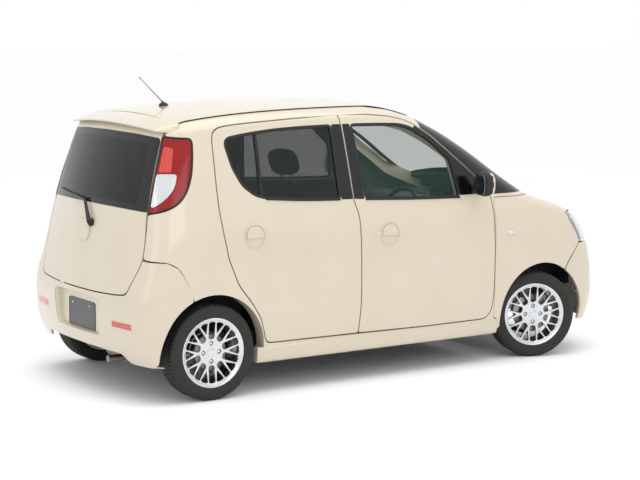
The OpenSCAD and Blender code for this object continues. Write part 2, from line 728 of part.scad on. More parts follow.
// ---- Wheels: +Y is the outer face ----
rim_r = rim_d / 2;
bead_r = 178;
face_y = 46;
face_t = 15;
spoke_pairs = 10;
module rim(front = true) {
    disc_y = front ? 8 : -14;
    disc_r = front ? 118 : 104;
    disc_t = front ? 10 : 58;
    rotate([-90, 0, 0]) {
        rotate_extrude() polygon([[167, -74], [rim_r, -74], [rim_r, -67], [bead_r, -67],
            [bead_r, 67], [rim_r, 67], [rim_r, 74], [167, 74]]);
        difference() {
            union() {
                translate([0, 0, face_y]) cylinder(h = face_t, r = 167.5);
                translate([0, 0, disc_y + disc_t - 0.1]) cylinder(h = face_y - disc_y - disc_t + 0.2, r = 62);
            }
            for (k = [0:spoke_pairs - 1]) rotate([0, 0, k * 360 / spoke_pairs]) {
                translate([0, 0, face_y - 1]) linear_extrude(face_t + 2) {
                    polygon([[84, -5], [84, 5], [160, 12], [160, -12]]);
                }
                rotate([0, 0, 180 / spoke_pairs]) translate([0, 0, face_y - 1])
                    linear_extrude(face_t + 2) polygon([[118, -4], [118, 4], [160, 14], [160, -14]]);
            }
            for (k = [0:nut_count - 1]) rotate([0, 0, k * 360 / nut_count])
                translate([nut_circle / 2, 0, face_y + 6]) cylinder(h = 20, r = 13);
        }
        difference() {
            union() {
                translate([0, 0, disc_y]) cylinder(h = disc_t, r = disc_r);
                if (front) translate([0, 0, -60]) cylinder(h = 61 + disc_y, r = 28);
            }
            if (!front) translate([0, 0, disc_y - 1]) cylinder(h = 36, r = 20 + slide);
        }
    }
}
module tyre() {
    rotate([-90, 0, 0]) rotate_extrude() polygon([[bead_r + fixed_gap, -66], [rim_r, -66.7],
        [rim_r + 10, -77], [tyre_d / 2 - 41, -tyre_w / 2], [tyre_d / 2 - 19, -tyre_w / 2 + 4],
        [tyre_d / 2 - 6, -tyre_w / 2 + 14], [tyre_d / 2, -tyre_w / 2 + 34],
        [tyre_d / 2, tyre_w / 2 - 34], [tyre_d / 2 - 6, tyre_w / 2 - 14],
        [tyre_d / 2 - 19, tyre_w / 2 - 4], [tyre_d / 2 - 41, tyre_w / 2],
        [rim_r + 10, 77], [rim_r, 66.7], [bead_r + fixed_gap, 66],
        [bead_r + fixed_gap, 52], [bead_r + 16, 54], [tyre_d / 2 - 50, 70],
        [tyre_d / 2 - 22, 68], [tyre_d / 2 - 11, 50], [tyre_d / 2 - 11, -50],
        [tyre_d / 2 - 22, -68], [tyre_d / 2 - 50, -70], [bead_r + 16, -54],
        [bead_r + fixed_gap, -52]]);
}
// Puts a front-wheel piece at its corner, turned about its kingpin.
module at_front(side) {
    translate([front_axle_x, side * kingpin_y, axle_z]) rotate([0, 0, -steer_rest])
        mirror([0, side < 0 ? 1 : 0, 0]) translate([0, front_track / 2 - kingpin_y, 0]) children();
}
module at_rear(side) {
    translate([rear_axle_x, side * rear_track / 2, axle_z])
        mirror([0, side < 0 ? 1 : 0, 0]) children();
}

// ---- Cabin ----
steering_y = -seat_pitch / 2;
steering_x = mx(330);
steering_z = 905 * sz;
steering_lean = 26;
column_r = 20;
dash_w = 598 * sy;
function dash_bore_z(x) = steering_z - (x - steering_x) * tan(steering_lean);
module column_frame() {
    translate([steering_x, steering_y, steering_z]) rotate([0, 90 + steering_lean, 0]) children();
}
module dash() {
    difference() {
        translate([0, dash_w, 0]) rotate([90, 0, 0]) linear_extrude(2 * dash_w)
            polygon(concat(
                [for (z = [640, 962]) [firewall_x - sheet_t - fixed_gap, z * sz]],
                side_points([[700, 985], [560, 975], [500, 940], [480, 860], [510, 760], [560, 690]])));
        column_frame() cylinder(h = 520, r = column_r + slide);
    }
}
module steering() {
    column_frame() {
        rotate_extrude() translate([steering_d / 2 - 14, 0]) circle(r = 14);
        translate([0, 0, 16]) cylinder(h = 30, r = 62);
        for (a = [0, 110, 250]) rotate([0, 0, a]) translate([-(steering_d / 2 - 16), -13, 14])
            cube([steering_d / 2 - 66, 26, 12]);
        for (a = [0, 110, 250]) rotate([0, 0, a]) translate([-(steering_d / 2 - 8), -13, 4])
            cube([12, 26, 20]);
        translate([0, 0, 45.9]) cylinder(h = 350, r = column_r);
    }
}
// A seat's side outline about its hip point: distances ahead, heights scaled with the body.
function seat_points(x, z, P) = [for (p = P) [x + p[0], z + p[1] * (p[1] > 0 ? sz : 1)]];
module seat_slab(x, y, z, w, P) {
    translate([0, y + w / 2, 0]) rotate([90, 0, 0]) linear_extrude(w) polygon(seat_points(x, z, P));
}
module headrest(x, y, z, P) {
    seat_slab(x, y, z, headrest_w, P);
    for (s = [-1, 1]) translate([x + P[0][0] - 35, y + s * post_pitch / 2, z + (P[0][1] - 60) * sz])
        cylinder(h = 80 * sz, r = post_r);
}
headrest_w = 260;
post_pitch = 120;
post_r = 6;
seat_x = mx(0);
rail_w = 40;
module seat(y) {
    rail_y = seat_w / 2 - 60;
    seat_slab(seat_x, y, seat_z, seat_w, [[-330, -150], [150, -150], [185, -60], [170, 0], [0, -8],
        [-260, -40], [-315, 60], [-405, 520], [-460, 560], [-520, 530], [-470, 60], [-420, -130]]);
    headrest(seat_x, y, seat_z, [[-455, 600], [-440, 740], [-480, 790], [-540, 770], [-550, 610]]);
    for (s = [-1, 1])
        box(seat_x - 270, seat_x + 120, y + s * rail_y - rail_w / 2, y + s * rail_y + rail_w / 2,
            floor_top + fixed_gap, seat_z - 149);
}
module back_seat() {
    z = seat_z + 30;
    x = mx(-700);
    base = rear_floor_z + floor_t + fixed_gap - z;
    seat_slab(x, 0, z, 2 * (well_y - 20), [[-230, base], [220, base], [250, -60], [230, 0], [0, -20],
        [-180, -30], [-260, 480], [-310, 520], [-370, 490], [-310, -60]]);
    for (s = [-1, 1])
        headrest(x, s * 260, z, [[-300, 560], [-290, 680], [-330, 720], [-380, 700], [-385, 570]]);
}
module aerial() {
    panel() difference() {
        translate([mx(-1120), 0, 0]) {
            translate([-28, -22, 1580 * sz]) cube([62, 44, 34]);
            translate([-5, 0, 1608 * sz]) rotate([0, -47, 0]) cylinder(h = 215, r = 4, $fn = 12);
        }
        body(-fixed_gap);
    }
}

// ---- Pieces by name ----

module floor_pan_node() { color("#55585a") floor_pan(); }
module side_frames() { color("#efe6d3") { side_frame(1); side_frame(-1); } }
module roof_panel() { color("#efe6d3") roof_skin(); }
module windscreen() { color("#a9c4b8") screen(); }
module cowl_node() { color("#1b1b1c") cowl(); }
module fenders() { color("#efe6d3") { fender(1); fender(-1); } }
module bonnet() { color("#efe6d3") bonnet_lid(); }
module front_bumper() { color("#efe6d3") nose(); }
module grille() { color("#1b1b1c") grille_bars(); }
module rear_bumper() { color("#efe6d3") tail(); }
module side_skirts() { color("#efe6d3") { skirt(1); skirt(-1); } }
module headlamps() { color("#d8dde0") head_lamps(); }
module tail_lamps() { color("#b3121a") { tail_lamp(1); tail_lamp(-1); } }
module number_plate() { color("#f4f4f0") plate_blank(); }
module antenna() { color("#1b1b1c") aerial(); }
module dashboard() { color("#3c3f42") dash(); }
module front_seats() { color("#3f4246") { seat(seat_pitch / 2); seat(-seat_pitch / 2); } }
module rear_seat() { color("#3f4246") back_seat(); }
module steering_wheel() { color("#26282a") steering(); }
module engine_block() { color("#8a8d90") engine(); }
module front_subframe() { color("#2e3033") subframe(); }
module rear_axle() { color("#2e3033") back_axle(); }
module exhaust_node() { color("#7d7f80") exhaust(); }
module fuel_tank() { color("#2b2c2e") tank(); }
module front_door_left() { color("#efe6d3") front_door(1); }
module front_door_right() { color("#efe6d3") front_door(-1); }
module rear_door_left() { color("#efe6d3") rear_door(1); }
module rear_door_right() { color("#efe6d3") rear_door(-1); }
module front_glass_left() { color("#a9c4b8") door_glass(1, front_window_line); }
module front_glass_right() { color("#a9c4b8") door_glass(-1, front_window_line); }
module rear_glass_left() { color("#2f3a38") door_glass(1, rear_window_line); }
module rear_glass_right() { color("#2f3a38") door_glass(-1, rear_window_line); }
module tailgate() { color("#efe6d3") gate(); }
module tailgate_glass() { color("#2f3a38") gate_glass(); }
module rear_wiper() { color("#1b1b1c") back_wiper(); }
module knuckle_left() { color("#6f7376") at_front(1) carrier(); }
module knuckle_right() { color("#6f7376") at_front(-1) carrier(); }
module rim_front_left() { color("#c9cccf") at_front(1) rim(); }
module rim_front_right() { color("#c9cccf") at_front(-1) rim(); }
module rim_rear_left() { color("#c9cccf") at_rear(1) rim(false); }
module rim_rear_right() { color("#c9cccf") at_rear(-1) rim(false); }
module tyre_front_left() { color("#17181a") at_front(1) tyre(); }
module tyre_front_right() { color("#17181a") at_front(-1) tyre(); }
module tyre_rear_left() { color("#17181a") at_rear(1) tyre(); }
module tyre_rear_right() { color("#17181a") at_rear(-1) tyre(); }

floor_pan_node();  // floor_pan
side_frames();
roof_panel();
windscreen();
cowl_node();  // cowl
fenders();
bonnet();
front_bumper();
grille();
rear_bumper();
side_skirts();
headlamps();
tail_lamps();
number_plate();
antenna();
dashboard();
front_seats();
rear_seat();
steering_wheel();
engine_block();
front_subframe();
rear_axle();
exhaust_node();  // exhaust
fuel_tank();
front_door_left();
front_door_right();
rear_door_left();
rear_door_right();
front_glass_left();
front_glass_right();
rear_glass_left();
rear_glass_right();
tailgate();
tailgate_glass();
rear_wiper();
knuckle_left();
knuckle_right();
rim_front_left();
rim_front_right();
rim_rear_left();
rim_rear_right();
tyre_front_left();
tyre_front_right();
tyre_rear_left();
tyre_rear_right();
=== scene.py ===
import json
import math

import bpy
import numpy as np
from mathutils import Matrix, Vector
from mathutils.geometry import delaunay_2d_cdt


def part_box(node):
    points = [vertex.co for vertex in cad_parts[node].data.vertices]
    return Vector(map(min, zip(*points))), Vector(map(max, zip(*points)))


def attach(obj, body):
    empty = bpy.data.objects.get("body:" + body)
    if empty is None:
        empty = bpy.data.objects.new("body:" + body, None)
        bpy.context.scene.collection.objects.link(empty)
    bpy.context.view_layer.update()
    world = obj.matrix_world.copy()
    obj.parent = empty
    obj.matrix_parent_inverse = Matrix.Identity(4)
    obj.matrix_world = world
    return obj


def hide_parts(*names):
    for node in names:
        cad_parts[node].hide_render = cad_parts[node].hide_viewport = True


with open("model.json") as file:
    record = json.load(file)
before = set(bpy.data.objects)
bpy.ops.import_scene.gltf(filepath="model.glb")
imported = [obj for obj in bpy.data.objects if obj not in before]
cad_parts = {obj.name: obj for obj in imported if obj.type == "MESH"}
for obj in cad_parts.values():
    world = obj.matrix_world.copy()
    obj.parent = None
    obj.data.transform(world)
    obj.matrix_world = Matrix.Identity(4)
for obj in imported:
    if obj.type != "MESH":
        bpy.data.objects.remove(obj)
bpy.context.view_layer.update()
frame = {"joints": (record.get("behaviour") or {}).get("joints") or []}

# ---------------------------------------------------------------- body shape
# Metres. Each table is read with a smooth curve; the whole body is one closed form.
FRONT_LINE = [(0.15, 1.640), (0.20, 1.662), (0.28, 1.688), (0.36, 1.6975), (0.46, 1.694),
              (0.58, 1.680), (0.68, 1.655), (0.78, 1.610), (0.86, 1.555), (0.91, 1.495),
              (0.95, 1.410), (0.985, 1.305), (1.02, 1.215), (1.085, 1.110), (1.157, 1.005),
              (1.315, 0.765), (1.437, 0.540), (1.50, 0.40), (1.56, 0.25), (1.63, 0.05)]
REAR_LINE = [(0.15, -1.600), (0.20, -1.635), (0.26, -1.668), (0.34, -1.688), (0.44, -1.6975),
             (0.54, -1.6975), (0.60, -1.692), (0.70, -1.672), (0.85, -1.650), (1.0, -1.625),
             (1.1, -1.602), (1.3, -1.540), (1.45, -1.485), (1.55, -1.445), (1.63, -1.40)]
WIDTH_LINE = [(0.15, 0.700), (0.22, 0.715), (0.30, 0.726), (0.45, 0.7345), (0.60, 0.7375),
              (0.78, 0.736), (0.92, 0.726), (1.02, 0.706), (1.10, 0.690), (1.25, 0.662),
              (1.40, 0.632), (1.50, 0.610), (1.56, 0.595), (1.63, 0.575)]
ROOF_LINE = [(-1.75, 1.500), (-1.5, 1.540), (-1.3, 1.570), (-1.0, 1.600), (-0.7, 1.615),
             (-0.4, 1.620), (-0.1, 1.617), (0.2, 1.600), (0.45, 1.572), (0.7, 1.535),
             (1.0, 1.48), (1.7, 1.35)]
FRONT_BOW = [(0.15, 0.17), (0.6, 0.17), (0.9, 0.22), (1.0, 0.30), (1.1, 0.36), (1.63, 0.36)]
REAR_BOW = [(0.15, 0.16), (0.6, 0.16), (0.8, 0.22), (1.1, 0.26), (1.63, 0.22)]
ROOF_BOW, SIDE_ROUND, FRONT_ROUND, REAR_ROUND, ROOF_ROUND = 0.10, 0.10, 0.16, 0.13, 0.07
WAIST_Z, WAIST_TAPER, WAIST_LENGTH = 0.95, 0.10, 1.6

AXLE_Z = (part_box("tyre_rear_left")[0].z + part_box("tyre_rear_left")[1].z) / 2
REAR_AXLE_X = (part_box("tyre_rear_left")[0].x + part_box("tyre_rear_left")[1].x) / 2
JOINT = {j["name"]: j for j in frame["joints"]}
FRONT_AXLE_X = 1.1475
ARCH_R = 0.325


def curve(table, v):
    """Cubic Hermite curve through a table's rows, tangents from its three nearest, level past the ends."""
    rows = np.asarray(table, float)
    x, y = rows[:, 0], rows[:, 1]
    h = np.diff(x)
    d = np.diff(y) / h
    m = np.concatenate([d[:1], (d[:-1] * h[1:] + d[1:] * h[:-1]) / (h[:-1] + h[1:]), d[-1:]])
    v = np.clip(v, x[0], x[-1])
    i = np.clip(np.searchsorted(x, v, side="right") - 1, 0, len(h) - 1)
    t = (v - x[i]) / h[i]
    return (y[i] * (2 * t**3 - 3 * t**2 + 1) + h[i] * m[i] * (t**3 - 2 * t**2 + t)
            + y[i + 1] * (3 * t**2 - 2 * t**3) + h[i] * m[i + 1] * (t**3 - t**2))


def near(gap, r):
    """How far a gap is within the rounding r, from 0 to 1."""
    return np.maximum(0, 1 - gap / r)


def field(p, o=0.0):
    """Below zero inside the body sunk by o: a rounded meeting of side, front, rear and roof distances."""
    x, y, z = p[..., 0], p[..., 1], p[..., 2]
    y2 = y * y
    taper = WAIST_TAPER * np.maximum(0, z - WAIST_Z) * (x / WAIST_LENGTH) ** 2
    return (near(curve(WIDTH_LINE, z) - taper - o - np.abs(y), SIDE_ROUND) ** 2
            + near(curve(FRONT_LINE, z) - curve(FRONT_BOW, z) * y2 - o - x, FRONT_ROUND) ** 2
            + near(x - curve(REAR_LINE, z) - curve(REAR_BOW, z) * y2 - o, REAR_ROUND) ** 2
            + near(curve(ROOF_LINE, x) - ROOF_BOW * y2 - o - z, ROOF_ROUND) ** 2 - 1)


def cast(start, way, o=0.0, far=2.4, steps=34):
    """Where rays from inside leave the body sunk by o, by halving the interval."""
    lo, hi = np.zeros(len(start)), np.full(len(start), far)
    for _ in range(steps):
        mid = (lo + hi) / 2
        out = field(start + way * mid[:, None], o) > 0
        hi, lo = np.where(out, mid, hi), np.where(out, lo, mid)
    return start + way * lo[:, None]


def gradient(p, o=0.0, e=2e-3):
    """Outward unit normal of the body from central differences."""
    g = np.stack([field(p + e * a, o) - field(p - e * a, o) for a in np.eye(3)], -1)
    return g / np.maximum(np.linalg.norm(g, axis=-1, keepdims=True), 1e-9)


def bump(v, middle, width):
    """A bell curve."""
    return np.exp(-((v - middle) / width) ** 2)


def ramp(v, a, b):
    """A smooth step from 0 at a to 1 at b."""
    t = np.clip((v - a) / (b - a), 0, 1)
    return t * t * (3 - 2 * t)


def relief(p):
    """Height of pressed detail over the plain form: the lips of the wheel arches."""
    x, y, z = p[:, 0], p[:, 1], p[:, 2]
    side = ramp(np.abs(y), 0.60, 0.70)
    h = np.zeros(len(p))
    for ax in (FRONT_AXLE_X, REAR_AXLE_X):
        d = np.hypot(x - ax, z - AXLE_Z)
        h += side * 0.006 * bump(d, ARCH_R, 0.035) * ramp(z, 0.16, 0.30)
    return h


# Charts: each turns two parameters into points of the body.
def on_side(uv, o=0.0):
    """Parameters are distance ahead and height; the point is on the left side."""
    start = np.stack([uv[:, 0], 0 * uv[:, 0], uv[:, 1]], -1)
    return cast(start, np.tile([0.0, 1.0, 0.0], (len(uv), 1)), o)


def on_rear(uv, o=0.0):
    """Parameters are distance left and height; the point is on the rear."""
    start = np.stack([0 * uv[:, 0] - 0.9, uv[:, 0], uv[:, 1]], -1)
    return cast(start, np.tile([-1.0, 0.0, 0.0], (len(uv), 1)), o)


def on_front(uv, o=0.0):
    """Parameters are distance left and height; the point is on the front."""
    start = np.stack([0 * uv[:, 0] + 0.6, uv[:, 0], uv[:, 1]], -1)
    return cast(start, np.tile([1.0, 0.0, 0.0], (len(uv), 1)), o)


def on_top(uv, o=0.0):
    """Parameters are distance ahead and left; the point is on top."""
    start = np.stack([uv[:, 0], uv[:, 1], 0 * uv[:, 0] + 0.55], -1)
    return cast(start, np.tile([0.0, 0.0, 1.0], (len(uv), 1)), o)


WRAP_X = 0.90
WRAP_R = 0.70


def on_wrap(end):
    """Parameters: arc length at WRAP_R about an upright line, and height; end is 1 in front and -1 behind."""
    def chart(uv, o=0.0):
        a = uv[:, 0] / WRAP_R
        start = np.stack([0 * a + end * WRAP_X, 0 * a, uv[:, 1]], -1)
        return cast(start, np.stack([end * np.cos(a), np.sin(a), 0 * a], -1), o)
    return chart


def wrap_u(end, p):
    """Arc parameter of points for on_wrap."""
    return np.arctan2(p[:, 1], end * (p[:, 0] - end * WRAP_X)) * WRAP_R


def side_to_wrap(end, xz):
    """Side outline points, distance ahead and height, as parameters of on_wrap."""
    xz = np.asarray(xz, float)
    return np.stack([wrap_u(end, on_side(xz)), xz[:, 1]], -1)


# ---------------------------------------------------------------- outlines
def rounded(points, r, per=7):
    """Closed outline, each corner turned into a parabola that starts r away, or less between close points."""
    p = np.asarray([q[:2] for q in points], float)
    rs = np.array([q[2] if len(q) > 2 else r for q in points], float)
    a, b = np.roll(p, 1, 0), np.roll(p, -1, 0)
    la, lb = np.linalg.norm(a - p, axis=1), np.linalg.norm(b - p, axis=1)
    ka = np.minimum(rs, 0.48 * la) / np.maximum(la, 1e-9)
    kb = np.minimum(rs, 0.48 * lb) / np.maximum(lb, 1e-9)
    s, e = p + (a - p) * ka[:, None], p + (b - p) * kb[:, None]
    t = np.linspace(0, 1, per)[None, :, None]
    arc = s[:, None] * (1 - t) ** 2 + 2 * p[:, None] * t * (1 - t) + e[:, None] * t**2
    return arc.reshape(-1, 2)


def resample(loop, spacing):
    """Points at equal spacing along a closed outline."""
    q = np.vstack([loop, loop[:1]])
    d = np.concatenate([[0], np.cumsum(np.linalg.norm(np.diff(q, axis=0), axis=1))])
    n = max(8, int(round(d[-1] / spacing)))
    s = np.linspace(0, d[-1], n, endpoint=False)
    return np.stack([np.interp(s, d, q[:, k]) for k in (0, 1)], -1)


def area(loop):
    """Signed area of a closed outline."""
    x, y = loop[:, 0], loop[:, 1]
    return 0.5 * np.sum(x * np.roll(y, -1) - np.roll(x, -1) * y)


def edge_out(loop):
    """Unit directions out of a closed counter-clockwise outline at its points."""
    t = np.roll(loop, -1, 0) - np.roll(loop, 1, 0)
    t /= np.maximum(np.linalg.norm(t, axis=1, keepdims=True), 1e-12)
    return np.stack([t[:, 1], -t[:, 0]], -1)


def outline(points, r=0.03, spacing=0.009, grow=0.0):
    """Rounded, evenly spaced, counter-clockwise outline, moved outward by grow."""
    loop = resample(rounded(points, r), spacing)
    if area(loop) < 0:
        loop = loop[::-1]
    if grow:
        loop = resample(loop + edge_out(loop) * grow, spacing)
    return loop


def inside(points, loops):
    """Even-odd test of points against closed loops."""
    hit = np.zeros(len(points), bool)
    px, py = points[:, 0][:, None], points[:, 1][:, None]
    for loop in loops:
        a, b = loop, np.roll(loop, -1, 0)
        ay, by = a[:, 1][None], b[:, 1][None]
        cross = (ay > py) != (by > py)
        with np.errstate(divide="ignore", invalid="ignore"):
            x = a[:, 0][None] + (py - ay) * (b[:, 0] - a[:, 0])[None] / (by - ay)
        hit ^= (np.sum(cross & (px < x), axis=1) % 2).astype(bool)
    return hit


def fill(loops, step):
    """Triangles of the area between closed loops, over a staggered grid of parameters."""
    lo, hi = loops[0].min(0), loops[0].max(0)
    us = np.arange(lo[0], hi[0], step)
    vs = np.arange(lo[1], hi[1], step * 0.866)
    g = np.stack(np.meshgrid(us, vs), -1).astype(float)
    g[1::2, :, 0] += step / 2
    g = g.reshape(-1, 2)
    g = g[inside(g, loops)]
    ring = np.vstack(loops)
    if len(g):
        keep = np.ones(len(g), bool)
        for part in np.array_split(np.arange(len(g)), max(1, len(g) // 2000)):
            d = np.linalg.norm(g[part][:, None] - ring[None], axis=2).min(1)
            keep[part] = d > 0.55 * step
        g = g[keep]
    pts = np.vstack([ring, g])
    edges, k = [], 0
    for loop in loops:
        n = len(loop)
        edges += [(k + i, k + (i + 1) % n) for i in range(n)]
        k += n
    out = delaunay_2d_cdt([Vector(p) for p in pts], edges, [], 0, 1e-7)
    got = np.array([v[:] for v in out[0]])
    tri = np.array([f for f in out[2] if len(f) == 3])
    c = got[tri].mean(1)
    tri = tri[inside(c, loops)]
    a, b, d = got[tri[:, 0]], got[tri[:, 1]], got[tri[:, 2]]
    turn = (b[:, 0] - a[:, 0]) * (d[:, 1] - a[:, 1]) - (b[:, 1] - a[:, 1]) * (d[:, 0] - a[:, 0])
    tri[turn < 0] = tri[turn < 0][:, ::-1]
    return got, tri, len(ring)


# ---------------------------------------------------------------- shells
# A shell is (points, faces, corner normals or None, material number of each face).
def shell(points, faces, normals=None, mats=None):
    """A surface as a table; mats is the material number of each face."""
    return dict(p=np.asarray(points, float), f=list(faces), n=normals,
                m=list(mats) if mats is not None else [0] * len(faces))


def flip(s):
    """The same shell on the right side."""
    p = s["p"] * [1, -1, 1]
    n = [q[::-1] * np.array([1, -1, 1]) for q in s["n"]] if s["n"] is not None else None
    return dict(p=p, f=[list(f)[::-1] for f in s["f"]], n=n, m=list(s["m"]))


def joined(*parts, mats=None):
    """Several shells as one; mats adds to each part's material numbers."""
    p, f, n, m, k = [], [], [], [], 0
    for i, s in enumerate(parts):
        p.append(s["p"])
        f += [[v + k for v in g] for g in s["f"]]
        m += [q + (mats[i] if mats else 0) for q in s["m"]]
        n += s["n"] if s["n"] is not None else [None] * len(s["f"])
        k += len(s["p"])
    return dict(p=np.vstack(p), f=f, n=None if any(q is None for q in n) else n, m=m)


def panel(chart, rim, holes=(), step=0.016, depth=0.018, lip=0.0025, lift=0.0, pressed=True,
          back=None, edge=0, normal=None):
    """A pressed panel: the chart's surface between outlines, a rounded edge of radius lip, a flange of
    the given depth and a back skin. lift raises it over the body; back is the back's material number."""
    loops = [np.asarray(rim)] + [np.asarray(h)[::-1] for h in holes]
    outer_uv = np.vstack(loops)
    inset = [q - edge_out(q) * lip for q in loops]
    uv, tri, n_ring = fill(inset, step)
    surf = chart(uv, -lift)
    nrm = gradient(surf, -lift) if normal is None else normal(uv)
    if pressed:
        surf = surf + nrm * relief(surf)[:, None]
    side_a, side_b = surf[tri[:, 1]] - surf[tri[:, 0]], surf[tri[:, 2]] - surf[tri[:, 0]]
    turned = np.sign(np.sum(np.cross(side_a, side_b) * nrm[tri[:, 0]]))
    if turned < 0:
        tri = tri[:, ::-1]
    rim_p, rim_n = surf[:n_ring], nrm[:n_ring]
    out_p = chart(outer_uv[:n_ring], -lift)
    if pressed:
        out_p = out_p + gradient(out_p, -lift) * relief(out_p)[:, None]
    away = out_p - rim_p
    away -= rim_n * np.sum(away * rim_n, 1, keepdims=True)
    size = np.linalg.norm(away, axis=1, keepdims=True)
    away /= np.maximum(size, 1e-9)
    angles = np.radians([30, 60, 90])
    rings, ring_n = [], []
    for a in angles:
        rings.append(rim_p + away * size * math.sin(a) - rim_n * lip * (1 - math.cos(a)))
        ring_n.append(rim_n * math.cos(a) + away * math.sin(a))
    rings.append(rim_p + away * size - rim_n * depth)
    ring_n.append(away)
    back_p = surf - nrm * depth
    p = np.vstack([surf] + rings + [back_p[n_ring:]])
    m = len(surf)
    faces = [list(t) for t in tri]
    normals = [nrm[t] for t in tri]
    mats = [0] * len(faces)
    starts = [0] + [m + k * n_ring for k in range(len(rings))]
    all_n = [rim_n] + ring_n
    k0 = 0
    for loop in loops:
        n = len(loop)
        i = np.arange(n)
        j = (i + 1) % n
        for q in range(len(starts) - 1):
            a, b = starts[q] + k0, starts[q + 1] + k0
            quad = np.stack([a + i, b + i, b + j, a + j], -1)
            qn = np.stack([all_n[q][k0 + i], all_n[q + 1][k0 + i], all_n[q + 1][k0 + j],
                           all_n[q][k0 + j]], 1)
            if turned < 0:
                quad, qn = quad[:, ::-1], qn[:, ::-1]
            faces += [list(v) for v in quad]
            normals += list(qn)
            mats += [edge] * n
        k0 += n
    index = np.concatenate([starts[-1] + np.arange(n_ring), m + len(rings) * n_ring
                            + np.arange(len(surf) - n_ring)])
    btri = index[tri][:, ::-1]
    faces += [list(t) for t in btri]
    normals += [-nrm[t[::-1]] for t in tri]
    mats += [back if back is not None else 0] * len(btri)
    return dict(p=p, f=faces, n=normals, m=mats)


def lathe(profile, centre=(0, 0, 0), axis=(0, 1, 0), around=96, start=0.0):
    """A profile of (radius, distance along the axis) turned about an axis; closed if its ends are on the axis
    or meet."""
    w = Vector(axis).normalized()
    u = Vector((0, 0, 1)) if abs(w.z) < 0.9 else Vector((1, 0, 0))
    u = (u - w * u.dot(w)).normalized()
    v = w.cross(u)
    u, v, w = np.array(u), np.array(v), np.array(w)
    pr = np.asarray(profile, float)
    a = start + np.linspace(0, 2 * np.pi, around, endpoint=False)
    ring = np.cos(a)[:, None] * u + np.sin(a)[:, None] * v
    p = (pr[None, :, 0, None] * ring[:, None] + pr[None, :, 1, None] * w
         + np.asarray(centre, float))
    n = len(pr)
    i = np.repeat(np.arange(around), n - 1)
    k = np.tile(np.arange(n - 1), around)
    j = (i + 1) % around
    quads = np.stack([i * n + k, j * n + k, j * n + k + 1, i * n + k + 1], -1)
    return shell(p.reshape(-1, 3), quads.tolist())


def tube(path, radius, around=12, closed=False):
    """A round section carried along a path, its frame turned as little as possible."""
    q = np.asarray(path, float)
    n = len(q)
    t = np.roll(q, -1, 0) - np.roll(q, 1, 0)
    if not closed:
        t[0], t[-1] = q[1] - q[0], q[-1] - q[-2]
    t /= np.linalg.norm(t, axis=1, keepdims=True)
    ref = np.array([0, 0, 1.0]) if abs(t[0][2]) < 0.9 else np.array([1.0, 0, 0])
    frames = []
    for k in range(n):
        ref = ref - t[k] * np.dot(ref, t[k])
        ref = ref / np.linalg.norm(ref)
        frames.append(ref.copy())
    u = np.array(frames)
    v = np.cross(t, u)
    a = np.linspace(0, 2 * np.pi, around, endpoint=False)
    r = np.broadcast_to(np.asarray(radius, float), (n,))
    p = q[:, None] + r[:, None, None] * (np.cos(a)[None, :, None] * u[:, None]
                                         + np.sin(a)[None, :, None] * v[:, None])
    faces = []
    last = n if closed else n - 1
    for k in range(last):
        b = (k + 1) % n
        i = np.arange(around)
        j = (i + 1) % around
        faces += np.stack([k * around + i, k * around + j, b * around + j, b * around + i],
                          -1).tolist()
    if not closed:
        faces += [list(range(around))[::-1], [(n - 1) * around + i for i in range(around)]]
    return shell(p.reshape(-1, 3), faces)


def loft(rows, caps=True):
    """A grid of points, rows by columns, as a skin; each row is a closed loop."""
    g = np.asarray(rows, float)
    n, m = g.shape[:2]
    i = np.repeat(np.arange(n - 1), m)
    j = np.tile(np.arange(m), n - 1)
    k = (j + 1) % m
    faces = np.stack([i * m + j, i * m + k, (i + 1) * m + k, (i + 1) * m + j], -1).tolist()
    if caps:
        faces += [list(range(m))[::-1], [(n - 1) * m + q for q in range(m)]]
    return shell(g.reshape(-1, 3), faces)


def make(name, s, materials, body, slot, nodes=(), smooth=40):
    """Makes the object from a shell, gives it its materials and parents it to the empty of the body it rides
    on.
    """
    mesh = bpy.data.meshes.new(name)
    mesh.from_pydata(s["p"].tolist(), [], [list(map(int, f)) for f in s["f"]])
    mesh.update()
    materials = materials if isinstance(materials, (list, tuple)) else [materials]
    for m in materials:
        mesh.materials.append(m)
    mesh.polygons.foreach_set("material_index", np.array(s["m"], np.int32))
    mesh.polygons.foreach_set("use_smooth", np.ones(len(mesh.polygons), bool))
    obj = bpy.data.objects.new(name, mesh)
    bpy.context.scene.collection.objects.link(obj)
    if s["n"] is not None:
        mesh.normals_split_custom_set(np.vstack(s["n"]).tolist())
    else:
        mesh.set_sharp_from_angle(angle=math.radians(smooth))
    if nodes:
        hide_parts(*nodes)
    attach(obj, body)
    return obj


def both(name, s, materials, body, slot, node=None, **more):
    """A left piece and its mirror image on the right. {} in a name takes the side."""
    for side, t in (("left", s), ("right", flip(s))):
        nodes = [node.format(side)] if node else []
        make(name.format(side), t, materials, body.format(side), slot, nodes, **more)


# ---------------------------------------------------------------- materials
def linear(hex_colour):
    """sRGB hex to linear RGBA."""
    c = np.array([int(hex_colour[i:i + 2], 16) / 255 for i in (1, 3, 5)])
    c = np.where(c <= 0.04045, c / 12.92, ((c + 0.055) / 1.055) ** 2.4)
    return (*c.tolist(), 1.0)


def new_material(name, colour, **sockets):
    """A material with one principled shader; sockets are its fixed values."""
    m = bpy.data.materials.new(name)
    m.use_nodes = True
    m.diffuse_color = linear(colour)
    shader = m.node_tree.nodes["Principled BSDF"]
    shader.inputs["Base Color"].default_value = linear(colour)
    for key, value in sockets.items():
        shader.inputs[key.replace("_", " ")].default_value = value
    return m


